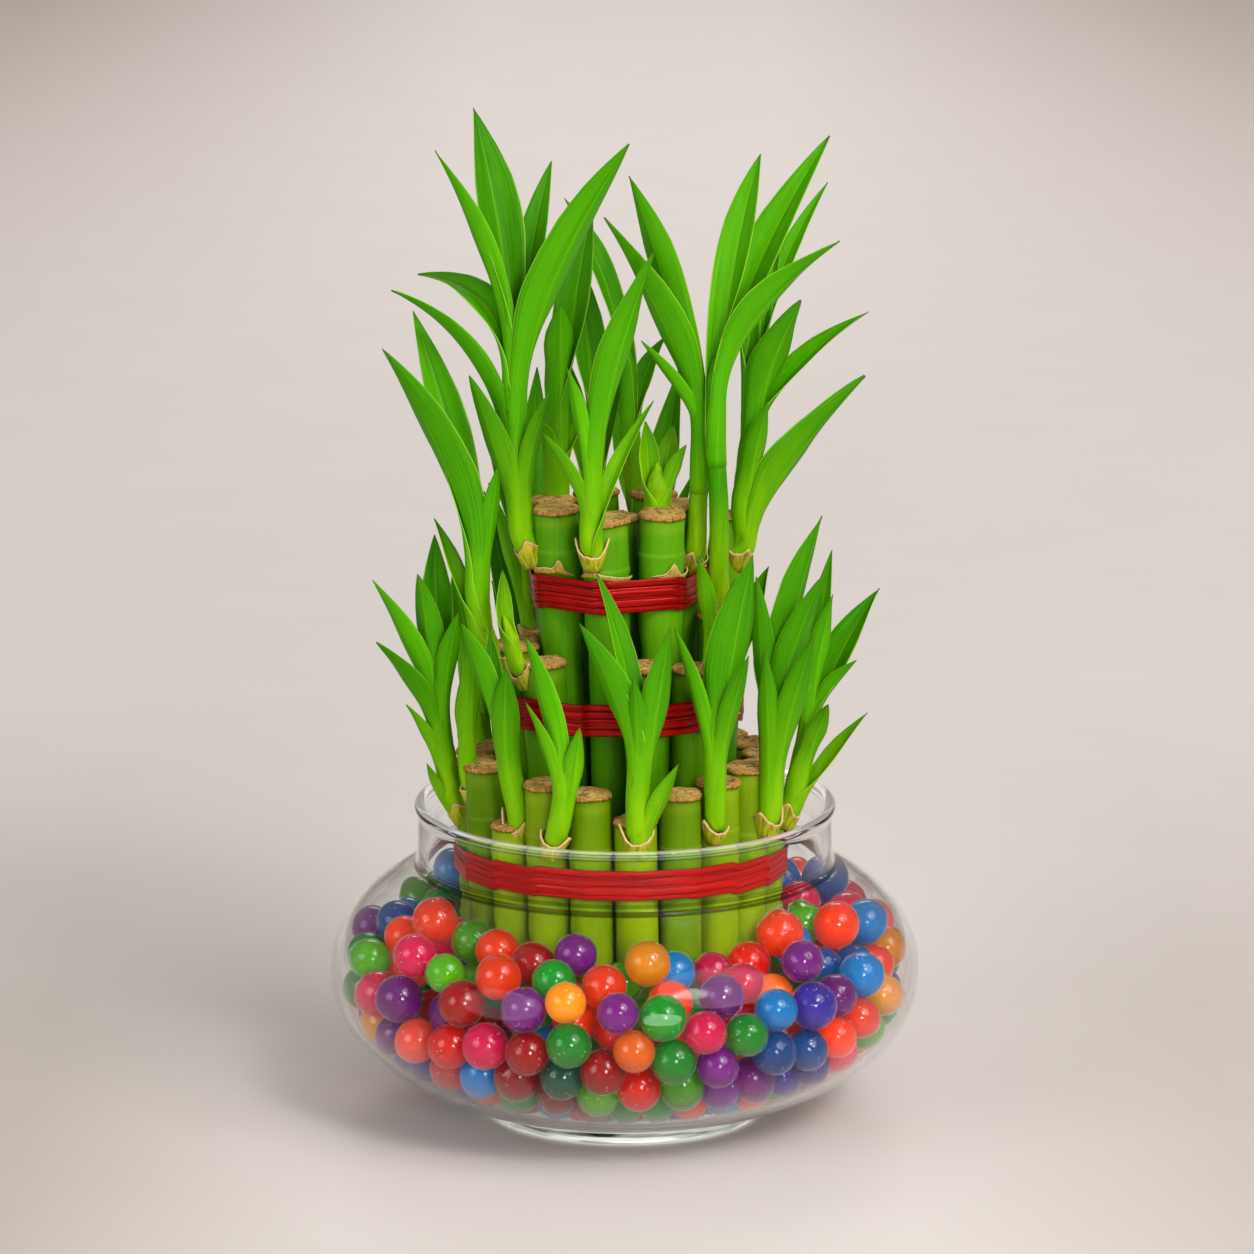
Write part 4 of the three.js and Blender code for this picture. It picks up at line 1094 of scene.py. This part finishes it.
def eased(x):
    x = min(max(x, 0.0), 1.0)
    return x * x * (3 - 2 * x)


print("points in a leaf's grid:", (SLEEVE_ROWS + BLADE_ROWS) * LEAF_COLUMNS)

# %% One leaf as rows of points
class Leaf:
    """A sleeve that wraps the stem and opens into a blade, which bends over to its tip."""

    def __init__(self, stem, shoot, leaf, seed):
        along, x, y, z, self.width, follow = leaf
        own, self.tip = random.Random(seed), np.array([x, y, z], float)
        foot, way = stem.curve(along), heading(stem.curve, along)
        self.stem, self.shoot = stem, shoot
        self.leaves_at = float(np.interp(along, stem.shares, stem.lengths))

        # A lower leaf's sleeve lies over the sleeves of the leaves above it.
        inner = min(sum(other[0] > along for other in shoot[4]), SLEEVE_LAYERS)
        self.clear = SLEEVE_LAYER * (inner + 1)
        self.opens_with = INNER_OPENS if inner else OUTER_OPENS
        self.rest = stem_radius(shoot, along) + self.clear

        # The blade leaves beside the stem, follows it for a while and bends over to the tip.
        away = np.array([self.tip[0] - foot[0], self.tip[1] - foot[1], 0.0])
        self.away = unit(away - way * np.dot(away, way))
        self.base = foot + self.away * self.rest
        self.bend = self.base + way * follow
        self.length = (np.linalg.norm(self.bend - self.base) * 0.5
                       + np.linalg.norm(self.tip - self.bend) * 0.75)

        # Its width clasps the stem at the foot, and further out it turns halfway to the front.
        chord = self.tip - self.base
        natural = unit(np.array([-chord[1], chord[0], 0.0]))
        self.clasp = unit(np.cross(self.away, way))
        if np.dot(natural, self.clasp) < 0:
            natural = -natural
        facing = np.array([-1.0 if natural[0] < 0 else 1.0, 0.0, 0.0])
        self.across_end = unit(natural * (1 - FACING) + facing * FACING)
        self.twist, self.ripple = own.uniform(*TWIST), own.uniform(0, ROUND_TURN)
        self.waves = own.uniform(*WAVES)

    def sleeve_row(self, part):
        """The arc round the stem at a share of the sleeve, its v and its height on the shoot."""
        sleeve = min(SLEEVE_LENGTH, self.leaves_at * SLEEVE_SHARE)
        at = self.leaves_at - sleeve * (1 - part)
        spot, here = self.stem.place(at), self.stem.heading(at)
        radius = stem_radius(self.shoot, self.stem.share(at))
        radius += self.clear * min(1.0, part / CLEAR_BY)
        out = unit(self.away - here * np.dot(self.away, here))
        beside = unit(np.cross(out, here))
        a = ACROSS * (SLEEVE_WRAP + (self.opens_with - SLEEVE_WRAP) * part)
        row = spot + (np.outer(np.cos(a), out) + np.outer(np.sin(a), beside)) * radius
        return row, SLEEVE_V * (1 - part), at

    def blade_row(self, t):
        """The arc at a share of the blade, its v and its height on the shoot."""
        spot = (1 - t) ** 2 * self.base + 2 * t * (1 - t) * self.bend + t * t * self.tip
        tangent = unit(2 * (1 - t) * (self.bend - self.base) + 2 * t * (self.tip - self.bend))
        opened, flat = eased(t / TURNED_BY), eased(t / FLAT_BY) ** 0.8
        across = self.clasp * (1 - opened) + self.across_end * opened
        across = unit(across - tangent * np.dot(across, tangent))
        over, turn = np.cross(across, tangent), self.twist * t * t
        across, over = (across * math.cos(turn) + over * math.sin(turn),
                        over * math.cos(turn) - across * math.sin(turn))
        half_open = self.width * WIDER * np.interp(t, WIDTH_AT, WIDTHS) / 2
        half = self.rest * self.opens_with * (1 - opened) + half_open * opened
        arc = self.opens_with * (1 - flat) + BLADE_CUP * flat
        side = half / arc * np.sin(ACROSS * arc)
        lift = half / arc * (1 - np.cos(ACROSS * arc)) + opened * half * 2 * KEEL * abs(ACROSS)
        wave = np.sin(self.ripple + self.waves * ROUND_TURN * t + 2 * ACROSS)
        lift += opened * RIPPLE * self.width * ACROSS ** 2 * wave
        row = spot + np.outer(side, across) + np.outer(lift, over)
        return row, t, self.leaves_at + t * self.length

    def rows(self):
        """All rows as a grid of points, with the v and the height on the shoot of each row."""
        rows = [self.sleeve_row(i / SLEEVE_ROWS) for i in range(SLEEVE_ROWS)]
        for i in range(BLADE_ROWS):
            rows.append(self.blade_row((i / (BLADE_ROWS - 1)) ** CLOSER_AT_FOOT))
        grid, v, heights = zip(*rows)
        return np.array(grid), v, heights


trial = Leaf(Stem(SHOOTS[0][3]), SHOOTS[0], SHOOTS[0][4][0], "trial")
print("first leaf, length in mm:", round(trial.length, 1))

# %% The leaves of each tier
LEAF_THICKNESS, THIN_TIP, THIN_EDGE = 0.5, 0.5, 0.65
for tier_name in TIERS:
    leaves, nodes = Sheets(), []
    for shoot in [s for s in SHOOTS if s[0] == tier_name]:
        stem = Stem(shoot[3])
        nodes.append(stalk_of(shoot))
        for number, leaf in enumerate(shoot[4]):
            seed = f"leaf{tier_name}{shoot[1]}{number}"
            grid, v_rows, rises = Leaf(stem, shoot, leaf, seed).rows()
            thick = np.outer(1 - THIN_TIP * np.abs(v_rows),
                             LEAF_THICKNESS * (1 - THIN_EDGE * ACROSS ** 2))
            leaves.add(grid, thick, random.Random(seed + "shade").random(), v_rows, rises)
    piece = leaves.piece(f"leaves_{tier_name}", leaf_skin)
    place(piece, "bamboo_green", nodes)

# %% [markdown]
# ## The collars and dry scales
#
# Where a shoot breaks out, the stalk's skin stays behind as a short tan cup round the foot of the
# stem, with one or two dry pointed scales that curl outwards. A wider rim could be swelled out of
# the stem, but the cup has its own edge, so it is a sheet wrapped round the stem. The same kind
# of sheet makes the papery scraps that are left on the top tier's nodes.

# %% The dry finish
paper = Finish("dry_scale_paper", Specular_IOR_Level=0.25)
u, v, spot = sheet_map(paper)
fibres = paper.noise(paper.stretched(spot, (30, 2, 1)), 1.0, 4.0, 0.65)
age = paper.attribute("shade")
tan = paper.mix(fibres.within(0.3, 0.7), "8c6420", "dcb85e")
fresh = paper.mix(fibres.within(0.35, 0.65), "6e7a00", "c6c81e")
dried = (v * 1.3 + fibres * 0.6 + age * 0.3 - 1.25).within(0.05, 0.35)
pale_edge, brown_foot = v.within(0.93, 1.0), 1 - v.within(0.0, 0.35)
paper.wear("Base Color", paper.layered(fresh, (dried, tan), (pale_edge * 0.6, "e6cf92"),
                                       (brown_foot * 0.5, "6a4210")))
paper.wear("Roughness", fibres * 0.2 + 0.55)
paper.bump(fibres, 0.3, 0.8)
print("dry finish written")

# %% Collars round the feet of the shoots
COLLAR_ROWS, COLLAR_COLUMNS, COLLAR_COVER, COLLAR_DIP = 9, 37, 6.2, 0.7
COLLAR_START, COLLAR_HEIGHT, COLLAR_THICKNESS, COLLAR_UPRIGHT = 1.2, (4.2, 5.2), 0.45, 3
SPIKE_ANGLE, SPIKE_TALL, SPIKE_WIDE, SPIKE_CURVE = (1.2, 1.6), (1.6, 4.4), (0.8, 1.2), 1.8
COARSE_TEAR, COARSE_WAVES, FINE_TEAR, FINE_WAVES = 0.06, 3, 0.03, 11
CUP_FOOT, CUP_CLEAR, CUP_FLARE, SCALE_CURL, FLUTES, FLUTE_DEPTH = 0.62, 0.5, 0.5, 0.2, 6, 0.06


def torn_edge(wave, across, height, spikes):
    """How far a collar reaches at an angle: a ragged rim with pointed scales at some angles."""
    coarse = COARSE_TEAR * math.sin(COARSE_WAVES * across + wave)
    reach = height * (1 + coarse + FINE_TEAR * math.sin(FINE_WAVES * across))
    for at, tall, wide in spikes:
        reach += tall * max(0.0, 1 - abs(across - at) / wide) ** SPIKE_CURVE
    return reach


def collar(stem, girth, height, own):
    """An upright cup round the foot of a stem, open at the back, as a grid of points."""
    spikes = [(side * own.uniform(*SPIKE_ANGLE), own.uniform(*SPIKE_TALL),
               own.uniform(*SPIKE_WIDE)) for side in (-1, 1)]
    wave, top = own.uniform(0, ROUND_TURN), COLLAR_START + height
    rim, way = stem.place(top), stem.heading(top + COLLAR_UPRIGHT)
    out = np.array([rim[0] - bundle_x(rim[2]), rim[1], 0.0])
    out = unit(out - way * np.dot(out, way))
    beside = unit(np.cross(out, way))
    grid = np.zeros((COLLAR_ROWS, COLLAR_COLUMNS, 3))
    for j in range(COLLAR_COLUMNS):
        a = (j / (COLLAR_COLUMNS - 1) - 0.5) * COLLAR_COVER
        reach = torn_edge(wave, a, height - COLLAR_DIP * math.cos(a), spikes)
        around = out * math.cos(a) + beside * math.sin(a)
        for i in range(COLLAR_ROWS):
            up = reach * i / (COLLAR_ROWS - 1)
            # Narrow at its foot, the cup rounds out quickly and flares a little at the rim.
            share = min(up / height, 1.0)
            flare = CUP_CLEAR + CUP_FLARE * share ** 2 + SCALE_CURL * max(0.0, up - height)
            radius = girth * STEM_FOOT * (CUP_FOOT + (1 - CUP_FOOT) * share ** 0.5) + flare
            radius += FLUTE_DEPTH * math.sin(FLUTES * a + wave)
            grid[i, j] = rim + way * (up - height) + around * radius
    return grid


print("points in a collar's grid:", COLLAR_ROWS * COLLAR_COLUMNS)

# %% Papery scraps on the nodes of the top tier
SCRAP_ROWS, SCRAP_COLUMNS, SCRAP_LEVEL, SCRAP_THICKNESS, SCRAP_AGE = 5, 25, 139.6, 0.3, 2.0
SCRAP_COVER, SCRAP_HEIGHT, SCRAP_SHIFT, SCRAP_TURN = (2.2, 3.4), (1.2, 2.0), (-0.4, 0.6), (-20, 20)
SCRAP_CLEAR, SCRAP_LEAN, SCRAP_CURL, SCRAP_WAVE, SCRAP_ENDS = 0.3, 0.25, 0.12, 0.5, 0.12
SCRAP_SPIKE = ((-1.2, 1.2), (1.5, 4.0), (0.25, 0.5))


def scrap(middle_at, radius, level, facing, own):
    """A ragged strip of old leaf base on a node of a stalk, as a grid of points."""
    cover, height = own.uniform(*SCRAP_COVER), own.uniform(*SCRAP_HEIGHT)
    spikes = [[own.uniform(*limits) for limits in SCRAP_SPIKE]]
    wave = own.uniform(0, ROUND_TURN)
    grid = np.zeros((SCRAP_ROWS, SCRAP_COLUMNS, 3))
    for j in range(SCRAP_COLUMNS):
        share = j / (SCRAP_COLUMNS - 1)
        a = (share - 0.5) * cover
        ends = max(SCRAP_ENDS, 1 - abs(2 * share - 1) ** 4)
        reach = torn_edge(wave, a, height, spikes) * ends
        turn = math.radians(facing) + a
        out = np.array([math.sin(turn), -math.cos(turn), 0.0])
        for i in range(SCRAP_ROWS):
            rise = i / (SCRAP_ROWS - 1)
            z = level + reach * rise + SCRAP_WAVE * math.sin(2 * a + wave)
            stand_off = radius + SCRAP_CLEAR + SCRAP_LEAN * rise
            stand_off += SCRAP_CURL * (reach * rise) ** 1.4
            grid[i, j] = middle_at(z) + out * stand_off
    return grid


print("points in a scrap's grid:", SCRAP_ROWS * SCRAP_COLUMNS)

# %% The collars and scraps of each tier
for tier_name, tier in TIERS.items():
    cups, nodes = Sheets(), []
    for shoot in [s for s in SHOOTS if s[0] == tier_name]:
        own = random.Random(f"sheath{tier_name}{shoot[1]}")
        nodes.append(stalk_of(shoot))
        grid = collar(Stem(shoot[3]), shoot[2][0], own.uniform(*COLLAR_HEIGHT), own)
        cups.add_even(grid, COLLAR_THICKNESS, own.random())
    if tier_name == "top":
        for name, angle, top, node_z, splay, thin in stalk_list("top"):
            own = random.Random("scrap" + name)
            level = SCRAP_LEVEL + own.uniform(*SCRAP_SHIFT)
            facing = angle + own.uniform(*SCRAP_TURN)
            grid = scrap(lambda z: ring_point(tier, angle, z), stalk_radius(tier, SCRAP_LEVEL),
                         level, facing, own)
            cups.add_even(grid, SCRAP_THICKNESS, SCRAP_AGE + own.random())
            nodes.append(name)
    piece = cups.piece(f"dry_scales_{tier_name}", paper)
    place(piece, "bamboo_green", sorted(set(nodes)))

# %% [markdown]
# ## The ribbons
#
# Each tier is bound with a glossy ribbon, wound round several times. The strands lie side by
# side, overlap and cross a little. A strand is a line drawn tight round the stalks, and a tree
# sweeps a flat oval along it, held upright. The oval's points know how near they are to its edge,
# so that the finish can paint shade there, where the strands overlap. The finish also paints the
# ribbon's highlights into its colour, as bright streaks.

# %% The ribbon finish
def ribbon_finish(name, dark, bright, metal, rough):
    band = Finish(name, Metallic=metal, Coat_Roughness=0.15, Specular_IOR_Level=0.08)
    edge = band.attribute("edge")
    threads = band.noise(band.places((0.06, 0.06, 4.0)), 1.0, 2.0)
    glint = band.noise(band.places((0.1, 0.1, 1.4)), 1.0, 3.0)
    # Painted light: the bright streaks along the threads and glints are painted highlights, and
    # each strand's edge is painted darker as shade where the strands overlap.
    light = (threads * 0.9 + glint * 0.5 - edge.within(0.72, 1.0) * 0.5 - 0.1).within(0.25, 0.8)
    band.wear("Base Color", band.mix(light, dark, bright))
    band.wear("Roughness", glint * 0.25 + rough)
    band.wear("Coat Weight", glint * 0.15)
    band.bump(threads + glint * 0.4, 0.12, 0.6)
    return band


ribbon_finishes = {
    "bottom": ribbon_finish("red_ribbon_flat", "5c0000", "ac0600", 0.0, 0.25),
    "middle": ribbon_finish("red_ribbon_foil_middle", "500103", "b80f0a", 0.35, 0.16),
    "top": ribbon_finish("red_ribbon_foil_top", "520103", "bc100a", 0.35, 0.16),
}
print("ribbon finishes:", list(ribbon_finishes))

# %% The ribbon tree
RIBBON_SIDES = 12
ribbon_tree = Growth("ribbon_along_lines", Width="Float", Thickness="Float")
lines = ribbon_tree.node("GeometryNodeMeshToCurve", None, {0: ribbon_tree.given("Geometry")})
held = ribbon_tree.node("GeometryNodeSetCurveNormal", {"mode": "Z_UP"}, {0: lines})
ring = ribbon_tree.node("GeometryNodeCurvePrimitiveCircle", None,
                        {"Resolution": RIBBON_SIDES, "Radius": 0.5})
flat_size = ribbon_tree.node("ShaderNodeCombineXYZ", None, {
    0: ribbon_tree.given("Thickness"), 1: ribbon_tree.given("Width"), 2: 1.0})
section = ribbon_tree.node("GeometryNodeTransform", None, {0: ring, "Scale": flat_size})
where = ribbon_tree.node("GeometryNodeInputPosition")
nearness = abs(ribbon_tree.split(where)[1]) / (ribbon_tree.given("Width") * 0.5)
marked_section = ribbon_tree.marked(section, "edge", nearness)
strip = ribbon_tree.node("GeometryNodeCurveToMesh", None, {0: held, 1: marked_section})
ribbon_tree.ends_in(ribbon_tree.node("GeometryNodeSetShadeSmooth", None, {0: strip}))
print("ribbon tree sockets:", [i.name for i in ribbon_tree.tree.interface.items_tree])

# %% The strands of each tie
STRANDS = {"bottom": (6, 1.9), "middle": (6, 1.8), "top": (6, 1.8)}
STEPS_A_STALK = {"bottom": 6, "middle": 8, "top": 12}
STRAND_THICKNESS, TIE_STAND_OFF, OVERLAP, LIFT, SWAY = 0.45, 0.45, 0.2, (0, 0.1), (0.2, 0.55)
ARC_SHARE, WRINKLE, WRINKLES = 0.98, 0.12, 7


def strand(lines, tier_name, level, lift, sway, phase):
    """One turn of ribbon, drawn tight round the stalks."""
    tier, steps = TIERS[tier_name], STEPS_A_STALK[tier_name]
    pitch, first = 360 / tier["count"], len(lines.points)
    for stalk in range(tier["count"]):
        for k in range(steps):
            middle = tier["first"] + pitch * stalk
            angle = middle + pitch * (k / (steps - 1) - 0.5) * ARC_SHARE
            a = math.radians(angle)
            reach = tier["ring"] + tier["spread"] * (level - STALK_FOOT_Z)
            z = level + TIE_TILT * reach * math.cos(a)
            z += sway * math.sin(a + phase) + WRINKLE * math.sin(WRINKLES * a + 2 * phase)
            spot = ring_point(tier, middle, z)
            spot[:2] += np.array([math.sin(a), -math.cos(a)]) * (stalk_radius(tier, level) + lift)
            lines.add(spot, len(lines.points) > first)
    lines.edges.append((len(lines.points) - 1, first))


for tier_name, (middle_z, height) in TIES.items():
    count, width = STRANDS[tier_name]
    own = random.Random("tie" + tier_name)
    strands = Lines()
    for number in range(count):
        level = middle_z + (height - width) * (number / (count - 1) - 0.5)
        lift = GAP + TIE_STAND_OFF + OVERLAP * (number % 2) + own.uniform(*LIFT)
        strand(strands, tier_name, level, lift, own.uniform(*SWAY), own.uniform(0, ROUND_TURN))
    piece = ribbon_tree.grow(f"ribbon_{tier_name}", strands.mesh("lines"),
                             ribbon_finishes[tier_name], Width=width * MM,
                             Thickness=STRAND_THICKNESS * MM)
    place(piece, "red_ribbon", [f"tie_{tier_name}"])

# %% [markdown]
# ## Floor, light and camera
#
# The plant stands on a pale warm paper sweep, which lies flat far back, so that a view from
# behind is free, and only then rises. A large soft lamp to the upper right models the leaves, and
# a weaker one fills from the left. Two small ones in front give the beads their glints and the
# bowl its pale window glow, and one over the far floor lights what the camera sees behind the
# plant. The paper is painted a little darker, by its place on the floor, where the floor in the
# photograph is darker: painted shade towards the far corners, and a painted shadow on the near
# floor beside the plant, most on the left.

# %% The floor and backdrop
sweep = Finish("warm_paper_sweep", Roughness=0.9, Specular_IOR_Level=0.2)
mottle = sweep.noise(sweep.places((0.02, 0.02, 0.02)), 1.0, 4.0)
across, away, _ = sweep.split(sweep.places())
# Painted shade: the paper is darker towards the far corners, and a painted shadow darkens the near
# floor beside the plant, most on the left.
corners = away.within(750, 1860) * abs(across).within(70, 290)
left, right = (0 - across).within(70, 150), across.within(70, 150)
painted_floor_shade = (1 - away.within(0, 450)) * (left * 0.45 + right * 0.34 + 0.12)
pale = sweep.mix(mottle, "dcd5d1", "e1dad6")
sweep.wear("Base Color", sweep.mix(corners * 0.7 + painted_floor_shade, pale, "a0968c"))
SWEEP_FRONT, SWEEP_BACK, SWEEP_BEND, SWEEP_WIDE, SWEEP_HIGH = -6000, 2800, 900, 6000, 4000
BEND_STEPS, UNDER_FOOT = 16, -0.05
profile = [(SWEEP_FRONT, UNDER_FOOT), (SWEEP_BACK, UNDER_FOOT)]
for a in np.linspace(0, math.pi / 2, BEND_STEPS + 1)[1:]:
    rise = SWEEP_BEND * (1 - math.cos(a))
    profile.append((SWEEP_BACK + SWEEP_BEND * math.sin(a), rise + UNDER_FOOT))
profile.append((SWEEP_BACK + SWEEP_BEND, SWEEP_HIGH))
points = [(x, y, z) for y, z in profile for x in (-SWEEP_WIDE, SWEEP_WIDE)]
faces = [(2 * i, 2 * i + 1, 2 * i + 3, 2 * i + 2) for i in range(len(profile) - 1)]
shown("paper_sweep", plain_mesh("paper_sweep", points, faces), sweep)
print("sweep rows:", len(profile))

# %% Lamps
def lamp(name, place_m, aim_m, size, power, colour):
    """A round soft lamp turned to a point. Places and size are in metres, power in watts."""
    data = bpy.data.lights.new(name, "AREA")
    data.shape, data.size, data.energy, data.color = "DISK", size, power, colour
    holder = added(name, data)
    holder.location = place_m
    way = Vector(aim_m) - Vector(place_m)
    holder.rotation_euler = way.to_track_quat("-Z", "Y").to_euler()


PLANT, FAR_FLOOR = (0, 0, 0.11), (0.05, 1.85, 0.0)
LAMPS = [
    ("key_lamp", (0.75, -0.75, 1.05), PLANT, 1.1, 11.8, (1.0, 0.98, 0.965)),
    ("fill_lamp", (-1.1, -0.9, 0.6), PLANT, 0.9, 6.0, (0.97, 0.98, 1.0)),
    ("glint_lamp", (0.55, -0.9, 1.0), PLANT, 0.28, 4.5, (1.0, 0.99, 0.98)),
    ("window_glow", (0.28, -1.1, 0.35), PLANT, 0.3, 3.2, (1.0, 0.99, 0.98)),
    ("backdrop_lamp", (0.1, 1.5, 1.35), FAR_FLOOR, 1.0, 11.6, (1.0, 0.985, 0.98)),
]
for settings in LAMPS:
    lamp(*settings)
world = bpy.data.worlds.new("soft_room")
world.use_nodes = True
background = world.node_tree.nodes["Background"].inputs
background["Color"].default_value = paint("dcd8d4")
background["Strength"].default_value = 0.6
bpy.context.scene.world = world

# %% The camera
ELEVATION, DISTANCE, AIM_HEIGHT, PIXELS_A_MM, FRAME_PIXELS = 13.2, 1.9, 0.1236, 4.04, 1254
SENSOR_MM, TO_THE_RIGHT = 36, 0.0005
tilt = math.radians(ELEVATION)
back, up = DISTANCE * math.cos(tilt), DISTANCE * math.sin(tilt)
camera_data = bpy.data.cameras.new("photo_view")
camera_data.sensor_width = SENSOR_MM
camera_data.lens = SENSOR_MM * PIXELS_A_MM * DISTANCE / MM / FRAME_PIXELS
camera = added("photo_view", camera_data)
camera.location = (TO_THE_RIGHT, -back, AIM_HEIGHT + up)
camera.rotation_euler = (math.pi / 2 - tilt, 0, 0)
bpy.context.scene.camera = camera
bpy.context.scene.view_settings.view_transform = "Standard"
print("lens in mm:", round(camera_data.lens, 1))
